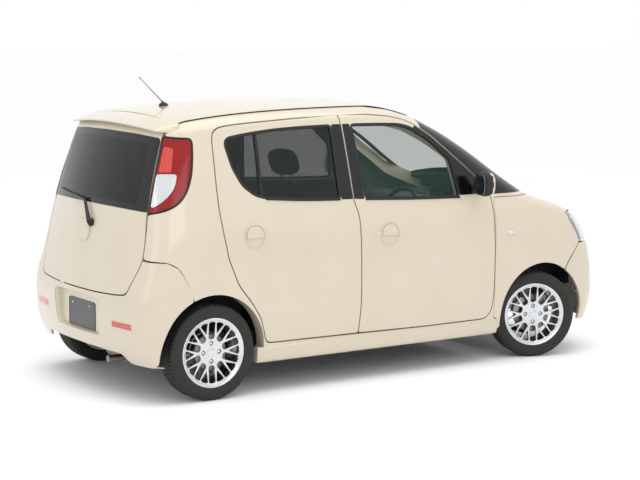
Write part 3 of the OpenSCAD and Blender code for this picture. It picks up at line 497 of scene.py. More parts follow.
def add(m, kind, links=None, **settings):
    """Adds a node; links maps its inputs to (node, output), settings are its values or properties."""
    n = m.node_tree.nodes.new(kind)
    for key, value in settings.items():
        label = key.replace("_", " ")
        if label in n.inputs.keys():
            n.inputs[label].default_value = value
        elif label.title() in n.inputs.keys():
            n.inputs[label.title()].default_value = value
        else:
            setattr(n, key, value)
    for socket, (src, out) in (links or {}).items():
        m.node_tree.links.new(src.outputs[out], n.inputs[socket])
    return n


def to_shader(m, socket, node, out):
    """Links a node's output to the shader."""
    m.node_tree.links.new(node.outputs[out], m.node_tree.nodes["Principled BSDF"].inputs[socket])


def coords(m, turn=(0, 0, 0)):
    """Object coordinates in metres, turned."""
    c = add(m, "ShaderNodeTexCoord")
    return add(m, "ShaderNodeMapping", {"Vector": (c, "Object")}, Rotation=turn)


def blend_colour(m, factor, a, b):
    """Colour between two hex values by a node's factor output, into a shader socket."""
    ramp_node = add(m, "ShaderNodeValToRGB", {"Fac": factor})
    ramp_node.color_ramp.elements[0].color = linear(a)
    ramp_node.color_ramp.elements[1].color = linear(b)
    to_shader(m, "Base Color", ramp_node, "Color")


def value_range(m, factor, low, high, socket):
    """Drives a shader value between low and high by a factor."""
    r = add(m, "ShaderNodeMapRange", {"Value": factor})
    r.inputs["To Min"].default_value, r.inputs["To Max"].default_value = low, high
    to_shader(m, socket, r, "Result")


def bumped(m, height, strength, distance):
    """Bends the shader's normal by a height."""
    b = add(m, "ShaderNodeBump", {"Height": height}, Strength=strength, Distance=distance)
    to_shader(m, "Normal", b, "Normal")


def paint(name, base, light):
    """Pearl lacquer: mica flakes in cells of 2.5 mm under a clear coat, with orange peel of a few millimetres
    that only bends reflections."""
    m = new_material(name, base, Metallic=0.0, Roughness=0.42, Coat_Weight=1.0,
                     Coat_Roughness=0.04, Coat_IOR=1.5)
    at = coords(m)
    flake = add(m, "ShaderNodeTexVoronoi", {"Vector": (at, "Vector")}, Scale=1 / 0.0025)
    slow = add(m, "ShaderNodeTexNoise", {"Vector": (at, "Vector")}, Scale=3.0, Detail=2.0)
    mix = add(m, "ShaderNodeMath", {0: (flake, "Distance"), 1: (slow, "Fac")}, operation="MULTIPLY")
    blend_colour(m, (mix, "Value"), base, light)
    peel = add(m, "ShaderNodeTexNoise", {"Vector": (at, "Vector")}, Scale=1 / 0.004, Detail=1.0)
    bumped(m, (peel, "Fac"), 0.02, 0.0002)
    return m


def plastic(name, dark, light, roughness, grain_mm, strength, coat=0.0):
    """Moulded plastic: a fine spark-eroded grain in the tool, seen as soft broken gloss."""
    m = new_material(name, dark, Roughness=roughness, IOR=1.49, Coat_Weight=coat)
    at = coords(m)
    grain = add(m, "ShaderNodeTexVoronoi", {"Vector": (at, "Vector")}, Scale=1000 / grain_mm)
    cloud = add(m, "ShaderNodeTexNoise", {"Vector": (at, "Vector")}, Scale=6.0, Detail=3.0)
    blend_colour(m, (cloud, "Fac"), dark, light)
    value_range(m, (cloud, "Fac"), roughness - 0.06, roughness + 0.08, "Roughness")
    bumped(m, (grain, "Distance"), strength, 0.0003)
    return m


def metal(name, dark, light, roughness, grain_mm, strength=0.15):
    """Metal with a cast, brushed or rolled surface; the grain breaks up its reflection."""
    m = new_material(name, dark, Metallic=1.0, Roughness=roughness)
    at = coords(m)
    grain = add(m, "ShaderNodeTexNoise", {"Vector": (at, "Vector")}, Scale=1000 / grain_mm, Detail=3.0)
    cloud = add(m, "ShaderNodeTexNoise", {"Vector": (at, "Vector")}, Scale=9.0, Detail=2.0)
    blend_colour(m, (cloud, "Fac"), dark, light)
    value_range(m, (grain, "Fac"), roughness - 0.08, roughness + 0.08, "Roughness")
    bumped(m, (grain, "Fac"), strength, 0.0003)
    return m


def glass(name, tint, opacity):
    """Float glass with a tint through it; dust is too thin to see but dulls the gloss a little."""
    m = new_material(name, tint, Roughness=0.0, IOR=1.45, Alpha=opacity)
    at = coords(m)
    dust = add(m, "ShaderNodeTexNoise", {"Vector": (at, "Vector")}, Scale=5.0, Detail=4.0)
    value_range(m, (dust, "Fac"), 0.0, 0.05, "Roughness")
    return m


PAINT = paint("pearl_lacquer_on_steel", "#C3B8A3", "#D0C7B6")
PAINT_TRIM = paint("pearl_lacquer_on_plastic", "#C2B7A2", "#CFC6B5")
BLACK_GLOSS = plastic("gloss_black_acrylic_trim", "#050506", "#0B0B0C", 0.14, 1.5, 0.02)
BLACK_SATIN = plastic("satin_black_film", "#060708", "#0D0E0F", 0.24, 0.8, 0.08)
BLACK_GRAIN = plastic("grained_black_polypropylene", "#0E0F10", "#1A1B1D", 0.58, 1.2, 0.5)
RUBBER = plastic("extruded_rubber_seal", "#0C0D0E", "#191A1B", 0.62, 0.9, 0.3)
TRIM_GREY = plastic("grained_grey_cabin_trim", "#57534D", "#6A665F", 0.6, 1.5, 0.5)
TRIM_DARK = plastic("grained_dark_cabin_trim", "#2B2B2D", "#3A3A3C", 0.6, 1.5, 0.5)
LINING = plastic("felt_headlining", "#B8B2A6", "#C8C2B6", 0.9, 2.5, 0.6)
UNDER = plastic("stone_guard_underbody_coat", "#151617", "#222324", 0.8, 5.0, 0.9)
STEEL = metal("rolled_chassis_steel_with_black_paint", "#1D1E20", "#2D2E31", 0.5, 2.0)
CAST = metal("cast_aluminium", "#8A8C8E", "#A2A4A6", 0.5, 1.5, 0.5)
ALLOY = metal("lacquered_silver_alloy", "#C3C6C9", "#D8DADC", 0.26, 1.2, 0.06)
EXHAUST = metal("aluminised_exhaust_steel", "#7E7B76", "#98948E", 0.42, 3.0)
CHROME = metal("bright_chrome_plate", "#D6D8DA", "#E6E8EA", 0.07, 4.0, 0.02)
BRAKE = metal("ground_brake_disc_iron", "#6C6A67", "#85827E", 0.4, 1.0, 0.2)
CLEAR = glass("clear_tempered_glass", "#2A4A40", 0.22)
SCREEN = glass("laminated_windscreen_glass", "#2F4A40", 0.16)
PRIVACY = glass("green_privacy_glass", "#0B1A16", 0.62)
REAR_GLASS = glass("dark_privacy_glass", "#050B0A", 0.90)
FRIT = plastic("fired_black_glass_border", "#050606", "#0A0B0B", 0.10, 2.0, 0.01)
# Tyre rubber: carbon black with a faint brown bloom and moulding grain of about a millimetre.
TYRE = plastic("tyre_rubber", "#141413", "#22211F", 0.68, 1.4, 0.35)


def lens(name, colour, opacity):
    """Moulded acrylic lens, gloss outside."""
    m = new_material(name, colour, Roughness=0.05, IOR=1.49, Alpha=opacity)
    at = coords(m)
    cloud = add(m, "ShaderNodeTexNoise", {"Vector": (at, "Vector")}, Scale=20.0, Detail=2.0)
    value_range(m, (cloud, "Fac"), 0.05, 0.10, "Roughness")
    return m


RED_LENS = lens("red_acrylic_lens", "#8F0A08", 0.88)
CLEAR_LENS = lens("clear_acrylic_lens", "#DDE3E6", 0.16)
REFLECTOR = metal("aluminised_lamp_reflector", "#D8DADC", "#E8EAEC", 0.12, 6.0, 0.05)


def prism_red():
    """Red reflector: corner prisms about 4 mm wide under a smooth face."""
    m = new_material("red_prism_reflector", "#B5170F", Roughness=0.12, IOR=1.49, Coat_Weight=1.0)
    at = coords(m, turn=(0.0, 0.0, 0.6))
    cell = add(m, "ShaderNodeTexVoronoi", {"Vector": (at, "Vector")}, Scale=1 / 0.006)
    blend_colour(m, (cell, "Distance"), "#8E0D09", "#E0402C")
    bumped(m, (cell, "Distance"), 0.5, 0.001)
    return m


PRISM = prism_red()


def woven(name, dark, light, pitch_mm):
    """Seat cloth: a plain weave, drawn at the given pitch so that it shows, with soft sheen."""
    m = new_material(name, dark, Roughness=0.92, Sheen_Weight=0.35, Sheen_Roughness=0.5)
    at = coords(m)
    warp = add(m, "ShaderNodeTexWave", {"Vector": (at, "Vector")}, Scale=1000 / pitch_mm / 6.28,
               bands_direction="Y", Distortion=1.0)
    weft = add(m, "ShaderNodeTexWave", {"Vector": (at, "Vector")}, Scale=1000 / pitch_mm / 6.28,
               bands_direction="DIAGONAL", Distortion=1.0)
    mix = add(m, "ShaderNodeMath", {0: (warp, "Fac"), 1: (weft, "Fac")}, operation="MULTIPLY")
    blend_colour(m, (mix, "Value"), dark, light)
    bumped(m, (mix, "Value"), 0.6, 0.0006)
    return m


SEAT_CLOTH = woven("grey_woven_seat_cloth", "#3C3A38", "#5B5854", 3.0)


# ---------------------------------------------------------------- stage
def camera():
    """The view: behind and to the right of the car, from a little above, with a long lens."""
    yaw, pitch, roll = 0.979421, -0.132376, 0.005991
    ahead = Vector((math.cos(yaw) * math.cos(pitch), math.sin(yaw) * math.cos(pitch), math.sin(pitch)))
    right = ahead.cross(Vector((0, 0, 1))).normalized()
    up = right.cross(ahead)
    r = right * math.cos(roll) + up * math.sin(roll)
    u = -right * math.sin(roll) + up * math.cos(roll)
    m = Matrix((r, u, -ahead)).transposed().to_4x4()
    m.translation = (-6.08069, -9.018208, 2.178442)
    data = bpy.data.cameras.new("view")
    data.lens, data.sensor_width, data.sensor_fit = 99.753, 36.0, "HORIZONTAL"
    data.clip_end = 200
    obj = bpy.data.objects.new("view", data)
    bpy.context.scene.collection.objects.link(obj)
    obj.matrix_world = m
    bpy.context.scene.camera = obj


def soft_light(name, place, aim, size, power):
    """A white rectangular light turned towards a point."""
    data = bpy.data.lights.new(name, "AREA")
    data.shape, data.size, data.size_y, data.energy = "RECTANGLE", size[0], size[1], power
    obj = bpy.data.objects.new(name, data)
    bpy.context.scene.collection.objects.link(obj)
    obj.location = place
    obj.rotation_euler = (Vector(aim) - Vector(place)).to_track_quat("-Z", "Y").to_euler()


def stage():
    """A white floor without an edge, a white sky and three large soft lights."""
    mesh = bpy.data.meshes.new("floor")
    s = 60.0
    mesh.from_pydata([(-s, -s, 0), (s, -s, 0), (s, s, 0), (-s, s, 0)], [], [(0, 1, 2, 3)])
    m = new_material("matt_white_studio_floor", "#F2F2F2", Roughness=0.9)
    at = coords(m)
    cloud = add(m, "ShaderNodeTexNoise", {"Vector": (at, "Vector")}, Scale=0.6, Detail=2.0)
    blend_colour(m, (cloud, "Fac"), "#FBFBFB", "#FFFFFF")
    mesh.materials.append(m)
    floor = bpy.data.objects.new("floor", mesh)
    bpy.context.scene.collection.objects.link(floor)
    world = bpy.data.worlds.new("studio")
    bpy.context.scene.world = world
    world.use_nodes = True
    back = world.node_tree.nodes["Background"]
    back.inputs["Color"].default_value = linear("#FFFFFF")
    back.inputs["Strength"].default_value = 1.0
    soft_light("overhead", (-0.5, -1.0, 5.2), (0, 0, 0.5), (7.0, 4.0), 130)
    soft_light("side", (-1.5, -7.0, 3.2), (0, 0, 0.7), (6.0, 2.5), 60)
    soft_light("rear", (-7.5, -1.5, 2.6), (-1.5, 0, 0.8), (4.0, 2.5), 30)


camera()
stage()
bpy.context.scene.view_settings.view_transform = "Standard"

# ---------------------------------------------------------------- body outlines, metres
SHUT = 0.0065          # gap round doors and lids
SEAM = 0.003           # gap between fixed panels
DOOR_T = 0.050
FRONT_DOOR = [(-0.302, 1.545, 0.004), (-0.10, 1.541), (0.06, 1.525), (0.16, 1.503), (0.225, 1.475),
              (0.338, 1.405), (0.558, 1.222), (0.715, 1.088), (0.748, 1.03), (0.755, 0.96),
              (0.76, 0.884), (0.764, 0.746), (0.765, 0.515), (0.761, 0.40), (0.75, 0.335),
              (0.728, 0.30), (0.695, 0.282), (0.248, 0.28), (-0.236, 0.287, 0.012), (-0.222, 0.449),
              (-0.225, 0.829), (-0.229, 0.973), (-0.259, 1.074), (-0.292, 1.488)]
REAR_DOOR = [(-0.302 - SHUT, 1.545, 0.004), (-0.597, 1.532), (-0.926, 1.514), (-1.06, 1.503),
             (-1.11, 1.492), (-1.137, 1.47), (-1.146, 1.43), (-1.152, 1.217), (-1.153, 1.06),
             (-1.143, 0.93), (-1.114, 0.78), (-1.05, 0.632), (-0.969, 0.531), (-0.91, 0.44),
             (-0.884, 0.35), (-0.878, 0.318), (-0.862, 0.297), (-0.84, 0.292),
             (-0.236 - SHUT, 0.287, 0.012), (-0.222 - SHUT, 0.449), (-0.225 - SHUT, 0.829),
             (-0.229 - SHUT, 0.973), (-0.259 - SHUT, 1.074), (-0.292 - SHUT, 1.488)]
DOORWAY = FRONT_DOOR[1:18] + REAR_DOOR[17:0:-1]
FRONT_WINDOW = [(-0.228, 1.486, 0.02), (-0.055, 1.484), (0.11, 1.478), (0.195, 1.458),
                (0.333, 1.378), (0.469, 1.262, 0.02), (0.514, 1.042, 0.03), (0.17, 1.052),
                (-0.174, 1.068, 0.02)]
REAR_WINDOW = [(-1.078, 1.434, 0.05), (-0.98, 1.449), (-0.887, 1.461), (-0.747, 1.474),
               (-0.607, 1.481), (-0.37, 1.486, 0.02), (-0.352, 1.076, 0.02), (-0.60, 1.086),
               (-0.855, 1.106), (-0.918, 1.124), (-0.991, 1.182), (-1.041, 1.28)]
TAILGATE = [(0, 0.586), (0.23, 0.587), (0.44, 0.594), (0.518, 0.604), (0.55, 0.686), (0.59, 0.791),
            (0.582, 0.90), (0.558, 1.04), (0.512, 1.457), (0.515, 1.525, 0.03)]
ROOF_PLAN = [(-1.338, 0.519), (-0.15, 0.519), (0.262, 0.50), (0.305, 0.38), (0.335, 0.20), (0.345, 0)]
SCREEN_PLAN = [(0.345, 0), (0.335, 0.20), (0.305, 0.38), (0.262, 0.50), (0.56, 0.545),
               (0.82, 0.58), (1.09, 0.604)]


def halves(points):
    """Both halves of an outline given from the middle outward in its second parameter."""
    p = [q if len(q) > 2 else (*q, 0.03) for q in points]
    return p + [(x, -y, r) for x, y, r in reversed(p) if abs(y) > 1e-6]


def halves_u(points):
    """Both halves of an outline given from the middle outward in its first parameter."""
    p = [q if len(q) > 2 else (*q, 0.03) for q in points]
    return p + [(-u, v, r) for u, v, r in reversed(p) if abs(u) > 1e-6]


def arc(cx, cz, r, a0, a1, n=40):
    """Points of a circle in degrees, each with no rounding."""
    t = np.radians(np.linspace(a0, a1, n))
    return [(cx + r * math.cos(q), cz + r * math.sin(q), 0.001) for q in t]


# ---------------------------------------------------------------- doors and side glass
def ring_panel(chart, loop_pts, r, out, into, lift, depth, **more):
    """A strip round an opening, from out outside its line to into inside it."""
    return panel(chart, outline(loop_pts, r, grow=out), [outline(loop_pts, r, grow=-into)],
                 lift=lift, depth=depth, lip=0.0015, step=0.01, pressed=False, **more)


def door(tag, line, window, body, glass_slot, glass_mat, divider=None):
    """Both doors of a row: skin, window seal, glass and the bar of a divided window."""
    rim = outline(line, 0.03)
    hole = outline(window, 0.03, grow=0.002)
    s = panel(on_side, rim, [hole], depth=DOOR_T, back=1, lip=0.003)
    both(f"{tag}_door_skin_{{}}", s, [PAINT, TRIM_GREY], body, "body_paint", f"{tag}_door_{{}}")
    both(f"{tag}_window_seal_{{}}", ring_panel(on_side, window, 0.03, 0.010, 0.006, 0.0012, 0.020),
         RUBBER, body, "black_plastic")
    g = panel(on_side, outline(window, 0.03, grow=-0.001), lift=-0.007, depth=0.004, lip=0.001,
              step=0.02, pressed=False)
    both(f"{tag}_window_{{}}", g, glass_mat, body, glass_slot, f"{tag}_glass_{{}}")
    if divider:
        both(f"{tag}_window_bar_{{}}", panel(on_side, outline(divider, 0.002), lift=-0.002,
             depth=0.018, lip=0.001, step=0.012, pressed=False), BLACK_SATIN, body, "black_plastic")


door("front", FRONT_DOOR, FRONT_WINDOW, "door_front_{}", "tinted_glass", CLEAR)
door("rear", REAR_DOOR, REAR_WINDOW, "door_rear_{}", "privacy_glass", PRIVACY,
     [(-0.862, 1.466), (-0.880, 1.466), (-0.884, 1.102), (-0.866, 1.102)])

PILLAR_FRONT = [(-0.288, 1.494, 0.004), (-0.238, 1.494, 0.004), (-0.184, 1.062, 0.004),
                (-0.256, 1.066, 0.004)]
PILLAR_REAR = [(-0.2985, 1.494, 0.004), (-0.362, 1.494, 0.004), (-0.344, 1.068, 0.004),
               (-0.2655, 1.066, 0.004)]
for label, shape, where in (("front", PILLAR_FRONT, "door_front_{}"), ("rear", PILLAR_REAR, "door_rear_{}")):
    both(f"{label}_pillar_film_{{}}", panel(on_side, outline(shape, 0.004, 0.006), lift=0.0009, depth=0.0012,
         lip=0.0006, step=0.012, pressed=False), BLACK_SATIN, where, "black_plastic")


def pillar_films():
    """Black film on the front pillar: the door frame ahead of the window, and the body side behind it."""
    line = outline(FRONT_DOOR, 0.03, 0.009, grow=-0.0015)
    line = line[(line[:, 0] > 0.225) & (line[:, 1] > 1.047)]
    line = line[np.argsort(-line[:, 1])]
    glass_edge = outline(FRONT_WINDOW, 0.03, 0.009, grow=0.002)
    glass_edge = glass_edge[(glass_edge[:, 0] > 0.205) & (glass_edge[:, 1] > 1.060)]
    glass_edge = glass_edge[np.argsort(glass_edge[:, 1])]
    door_film = [*map(tuple, line), (0.740, 1.0465), (0.518, 1.0465), *map(tuple, glass_edge)]
    frame_line = outline(FRONT_DOOR, 0.03, 0.009, grow=SHUT + 0.0015)
    frame_line = frame_line[(frame_line[:, 0] > 0.275) & (frame_line[:, 1] > 1.041)]
    frame_line = frame_line[np.argsort(frame_line[:, 1])]
    x = np.linspace(0.285, 1.098, 70)
    edge = np.stack([x, curve(sorted([(1.115, 1.036), (0.9, 1.138), (0.75, 1.240), (0.6, 1.3395),
                                      (0.45, 1.4278),
                                      (0.3, 1.5012), (0.2, 1.535)]), x) - 0.0045], -1)
    side_film = [*map(tuple, edge), (1.098, 1.040), (0.775, 1.040), *map(tuple, frame_line)]
    for name, film, body in (("mirror_sail_{}", door_film, "door_front_{}"),
                             ("front_pillar_skin_{}", side_film, "chassis")):
        film = [(*q, 0.0005) for q in film]
        both(name, panel(on_side, outline(film, 0.0005, 0.008), lift=0.0012, depth=0.0014, lip=0.0006,
                         step=0.012,
             pressed=False), BLACK_GLOSS, body, "black_plastic")


pillar_films()


# ---------------------------------------------------------------- body side, roof, screens
LAMP_EDGE = [(0.6369, 1.4493), (0.6991, 1.447, 0.015), (0.7131, 1.4262), (0.7152, 1.33), (0.7112, 1.2504),
             (0.6947, 1.1718), (0.6648, 1.1102), (0.6209, 1.0722), (0.5694, 1.0522)]


def rear_to_wrap(points):
    """Points of the rear chart in the parameters of the rear wrap, roundings kept."""
    pts = [q if len(q) > 2 else (*q, 0.03) for q in points]
    p = on_rear(np.array([q[:2] for q in pts], float))
    return [(u, z, q[2]) for u, z, q in zip(wrap_u(-1, p), p[:, 2], pts)]


rear_wrap, front_wrap = on_wrap(-1), on_wrap(1)
LAMP_RIM = outline([*rear_to_wrap([(0.518, 1.457, 0.004)]), *LAMP_EDGE,
                    *rear_to_wrap([(0.5645, 1.04, 0.004)])],
                   0.03, 0.006)


def tail_edge():
    """Where the body side meets the tail lamp and the tailgate: points as distance ahead and height."""
    grown = LAMP_RIM + edge_out(LAMP_RIM) * SEAM
    p = rear_wrap(grown)
    end = rear_to_wrap([(0.518, 1.457), (0.5645, 1.04)])
    far = np.abs(grown[:, 0] - np.interp(grown[:, 1], [end[1][1], end[0][1]], [end[1][0], end[0][0]])) > 0.010
    p = p[far]
    p = p[np.argsort(-np.arctan2(p[:, 2] - 1.25, -(p[:, 0] + 1.42)) % (2 * np.pi))]
    start = np.argmax(np.linalg.norm(np.diff(p, axis=0, append=p[:1]), axis=1)) + 1
    p = np.roll(p, -start, 0)
    if p[0, 2] < p[-1, 2]:
        p = p[::-1]
    low = on_rear(np.array([(0.5705, 1.03), (0.590, 0.90), (0.597, 0.797)]))
    top = on_rear(np.array([(0.523, 1.50), (0.5225, 1.468)]))
    return ([(a, b, 0.006) for a, b in top[:, [0, 2]]] + [(a, b, 0.0005) for a, b in p[:, [0, 2]]]
            + [(a, b, 0.012) for a, b in low[:, [0, 2]]])


SIDE_LINE = ([(0.790, 0.197, 0.01), (0.790, 0.274, 0.004), (0.772, 0.274, 0.004), (0.772, 1.0215, 0.01),
              (1.100, 1.0215, 0.004), (1.115, 1.036, 0.004), (0.9, 1.138), (0.75, 1.240), (0.6, 1.3395),
              (0.45, 1.4278), (0.3, 1.5012), (0.1, 1.5615), (-0.1, 1.5863), (-0.3, 1.5879), (-0.6, 1.5838),
              (-0.9, 1.5701), (-1.1, 1.5535), (-1.2, 1.5427), (-1.3, 1.5269), (-1.338, 1.5127, 0.01)]
             + tail_edge()
             + [(-1.494, 0.790), (-1.4375, 0.761), (-1.402, 0.712), (-1.371, 0.655), (-1.350, 0.603, 0.006)]
             + arc(REAR_AXLE_X, AXLE_Z, ARCH_R, 113, -12.7, 60))


def build_side():
    """The pressed body side: quarter panel, roof rail, front pillar and sill in one piece."""
    s = panel(on_side, outline(SIDE_LINE, 0.02, 0.010), [outline(DOORWAY, 0.03, 0.009, grow=SHUT)],
              step=0.014, depth=0.085, lip=0.002, back=1, edge=0)
    both("body_side_{}", s, [PAINT, TRIM_GREY], "chassis", "body_paint")


build_side()
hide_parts("side_frames")

both("roof_ditch_seal_{}", tube(np.array([(x, y + 0.004, z - 0.001) for x, y, z in
     on_top(np.stack([np.linspace(-1.325, 0.25, 60), curve([(-1.338, 0.519), (-0.15, 0.519), (0.262, 0.5)],
                                                        np.linspace(-1.325, 0.25, 60))], -1))]), 0.0045),
     RUBBER, "chassis", "black_plastic")
make("roof_skin", panel(on_top, outline(halves(ROOF_PLAN), 0.02, 0.010), step=0.022, depth=0.024, lip=0.003,
     back=1), [PAINT, LINING], "chassis", "body_paint", ["roof_panel"])
screen_rim = outline(halves(SCREEN_PLAN), 0.03, 0.010, grow=-0.004)
make("windscreen_glass", panel(on_top, screen_rim, lift=-0.003, depth=0.005, lip=0.0015, step=0.022,
     pressed=False), SCREEN, "chassis", "tinted_glass", ["windscreen"])
make("windscreen_border", panel(on_top, screen_rim, [outline(halves(SCREEN_PLAN), 0.06, 0.010, grow=-0.045)],
     lift=-0.0022, depth=0.0007, lip=0.0003, step=0.014, pressed=False), FRIT, "chassis", "black_plastic")


# ---------------------------------------------------------------- tailgate
gate_window = halves_u([(0, 1.064), (0.30, 1.060), (0.5585, 1.050, 0.008), (0.5135, 1.447, 0.02),
                        (0.30, 1.462),
                        (0, 1.468)])
gate_hole = halves_u([(0, 1.085), (0.30, 1.081), (0.49, 1.074, 0.03), (0.455, 1.425, 0.04), (0.30, 1.436),
                      (0, 1.440)])


def gate_top():
    """The tailgate's outline goes up to the roof: its top edge is where the rear meets x = -1.345."""
    return [(0, 1.5605, 0.02), (0.20, 1.5575, 0.02), (0.40, 1.5455, 0.02), (0.505, 1.525, 0.01),
            (0.511, 1.50, 0.01)]


gate_line = halves_u(TAILGATE[:9] + gate_top()[::-1])
make("tailgate_skin", panel(on_rear, outline(gate_line, 0.02), [outline(gate_hole, 0.03)], step=0.014,
     depth=0.045, lip=0.003, back=1), [PAINT, TRIM_GREY], "tailgate_lid", "body_paint", ["tailgate"])
glass_rim = outline(gate_window, 0.03)
make("tailgate_window", panel(on_rear, glass_rim, lift=0.0012, depth=0.004, lip=0.001, step=0.02,
     pressed=False), REAR_GLASS, "tailgate_lid", "privacy_glass", ["tailgate_glass"])
make("tailgate_window_border", panel(on_rear, glass_rim, [outline(gate_hole, 0.03, grow=-0.012)],
     lift=0.0018, depth=0.0005, lip=0.0002, step=0.012, pressed=False), FRIT, "tailgate_lid",
     "black_plastic")


# ---------------------------------------------------------------- bumpers
def mirror_line(side):
    """A closed outline from points of one half, first and last on the middle line."""
    side = [q if len(q) > 2 else (*q, 0.02) for q in side]
    return side + [(-u, v, r) for u, v, r in reversed(side) if abs(u) > 1e-6]


def rear_bumper_line():
    """Half outline in the wrap's parameters: the tailgate's edge, the seam, the arch and the bottom."""
    gate = on_rear(np.array([(0.0, 0.580), (0.23, 0.581), (0.44, 0.588), (0.524, 0.598), (0.557, 0.686),
                             (0.596, 0.785)]))
    u = wrap_u(-1, gate)
    first = [(a, b, 0.02) for a, b in zip(u, gate[:, 2])]
    seam = [(-1.583, 0.7905), (-1.494, 0.7855), (-1.437, 0.756), (-1.400, 0.706), (-1.368, 0.650),
            (-1.3465, 0.600)]
    cut = [q[:2] for q in arc(REAR_AXLE_X, AXLE_Z, ARCH_R, 114.2, 187, 30)]
    rest = side_to_wrap(-1, seam + cut)
    rest = [(a, b, 0.004) for a, b in rest]
    end = rest[-1]
    return mirror_line(first + rest + [(end[0] - 0.02, 0.216, 0.01), (0.62, 0.208, 0.03), (0.43, 0.210, 0.03),
                                       (0.385, 0.262, 0.02), (0, 0.266, 0.02)])


RECESS = [(0, 0.338), (0.262, 0.340, 0.02), (0.290, 0.548, 0.03), (0, 0.556)]
recess_wrap = [(wrap_u(-1, on_rear(np.array([[u, v]])))[0], v, r) for u, v, r in
               [q if len(q) > 2 else (*q, 0.02) for q in RECESS]]
bumper = panel(rear_wrap, outline(rear_bumper_line(), 0.02, 0.010), [outline(mirror_line(recess_wrap), 0.02)],
               step=0.015, depth=0.014, lip=0.003)
make("rear_bumper_skin", bumper, PAINT_TRIM, "chassis", "body_paint", ["rear_bumper"])


PLATE_FLOOR_X = -1.651


def recess():
    """The number plate's pocket: the opening's outline carried forward and drawn in to a flat floor."""
    top = outline(mirror_line(recess_wrap), 0.02)
    edge = rear_wrap(top, 0.004)
    mid = edge.mean(0)
    rows = [edge]
    for k, keep in enumerate((0.99, 0.965, 0.955, 0.94)):
        q = edge.copy()
        part = min(k / 3.0, 1.0)
        q[:, 0] = edge[:, 0] * (1 - part) + PLATE_FLOOR_X * part
        q[:, 0] = np.maximum(q[:, 0], edge[:, 0] + 0.002) if k == 0 else q[:, 0]
        q[:, 1:] = mid[1:] + (edge[:, 1:] - mid[1:]) * keep
        rows.append(q)
    flat = rows[-1].copy()
    flat[:, 1:] = mid[1:] + (flat[:, 1:] - mid[1:]) * 0.5
    rows.append(flat)
    s = loft(rows, caps=False)
    n = len(edge)
    s["f"].append([(len(rows) - 1) * n + i for i in range(n)])
    s["m"].append(0)
    s["f"] = [f[::-1] for f in s["f"]]
    return s


make("plate_pocket", recess(), PAINT_TRIM, "chassis", "body_paint", smooth=30)


# ---------------------------------------------------------------- rear details
def super_loop(a, b, power, n=48):
    """A rounded box section: |u/a|^power + |v/b|^power = 1, as n points."""
    t = np.linspace(0, 2 * np.pi, n, endpoint=False)
    c, s = np.cos(t), np.sin(t)
    return np.stack([a * np.sign(c) * np.abs(c) ** (2 / power), b * np.sign(s) * np.abs(s) ** (2 / power)],
                    -1)


def spoiler():
    """The roof spoiler: a wing section carried across the tailgate's top, further forward at its ends."""
    t = np.linspace(-1, 1, 81)
    rows = []
    for q in t:
        y = 0.545 * q
        fall = 0.030 * q * q + 0.012 * q**6
        chord = 0.150 - 0.030 * q * q - 0.085 * max(0, abs(q) - 0.93) / 0.07
        front = -1.352
        zt = float(curve(ROOF_LINE, np.array([front]))[0]) - ROOF_BOW * y * y - 0.001
        a = np.linspace(0, 2 * np.pi, 28, endpoint=False)
        u = 0.5 - 0.5 * np.cos(a)
        thick = 0.017 * np.sqrt(np.clip(1 - (2 * u - 1) ** 2, 0, 1)) ** 0.7 * (1 - 0.35 * u)
        x = front - chord * u
        drop = 0.020 * u + 0.020 * u**2
        z = zt - 0.002 - drop - np.where(np.sin(a) > 0, 0.0, 2 * thick) - fall * 0.15
        x = x + 0.10 * y * y
        rows.append(np.stack([x, np.full_like(x, y), z], -1))
    return loft(rows)


make("roof_spoiler", spoiler(), PAINT_TRIM, "tailgate_lid", "body_paint", smooth=50)


def recess_plate():
    """The number plate blank: a thin pressed sheet with rounded corners and a raised border."""
    box_lo, box_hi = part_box("number_plate")
    cy, cz = (box_lo.y + box_hi.y) / 2, (box_lo.z + box_hi.z) / 2
    a, b = (box_hi.y - box_lo.y) / 2, (box_hi.z - box_lo.z) / 2
    x0, x1 = box_hi.x, box_lo.x
    rows = []
    for x, shrink in ((x0, 0.002), (x0 - 0.001, 0.0), (x1 + 0.001, 0.0), (x1, 0.001), (x1, 0.006),
                      (x1 + 0.0012, 0.0075)):
        q = super_loop(a - shrink, b - shrink, 14, 96)
        rows.append(np.stack([np.full(len(q), x), cy + q[:, 0], cz + q[:, 1]], -1))
    s = loft(rows)
    s["f"] = [f[::-1] for f in s["f"]]
    return s


PLATE_DARK = plastic("enamelled_dark_blank_plate", "#151C1B", "#202927", 0.3, 6.0, 0.03, 0.4)
make("plate_blank", recess_plate(), PLATE_DARK, "chassis", "plate", ["number_plate"], smooth=25)
for k, y in enumerate((-0.105, 0.105)):
    lo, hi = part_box("number_plate")
    make(f"plate_bolt_{k}", lathe([(0, 0.004), (0.0045, 0.0036), (0.0062, 0.002), (0.0064, -0.003)],
         (lo.x - 0.001, y, 0.479), (-1, 0, 0), 24), CHROME, "chassis", "chassis_steel")

for side, sgn in (("left", 1), ("right", -1)):
    spot = outline([(sgn * 0.408, 0.413, 0.006), (sgn * 0.586, 0.413, 0.006), (sgn * 0.586, 0.446, 0.006),
                    (sgn * 0.408, 0.446, 0.006)], 0.006, 0.004)
    make(f"rear_reflector_{side}", panel(on_rear, spot, lift=0.004, depth=0.006, lip=0.002, step=0.008,
         pressed=False), PRISM, "chassis", "lamp_red")
    make(f"rear_reflector_rim_{side}", panel(on_rear, outline([(sgn * 0.402, 0.407, 0.009),
         (sgn * 0.592, 0.407, 0.009), (sgn * 0.592, 0.452, 0.009), (sgn * 0.402, 0.452, 0.009)], 0.009,
         0.004),
         lift=0.0025, depth=0.004, lip=0.0015, step=0.008, pressed=False), PAINT_TRIM, "chassis",
         "body_paint")


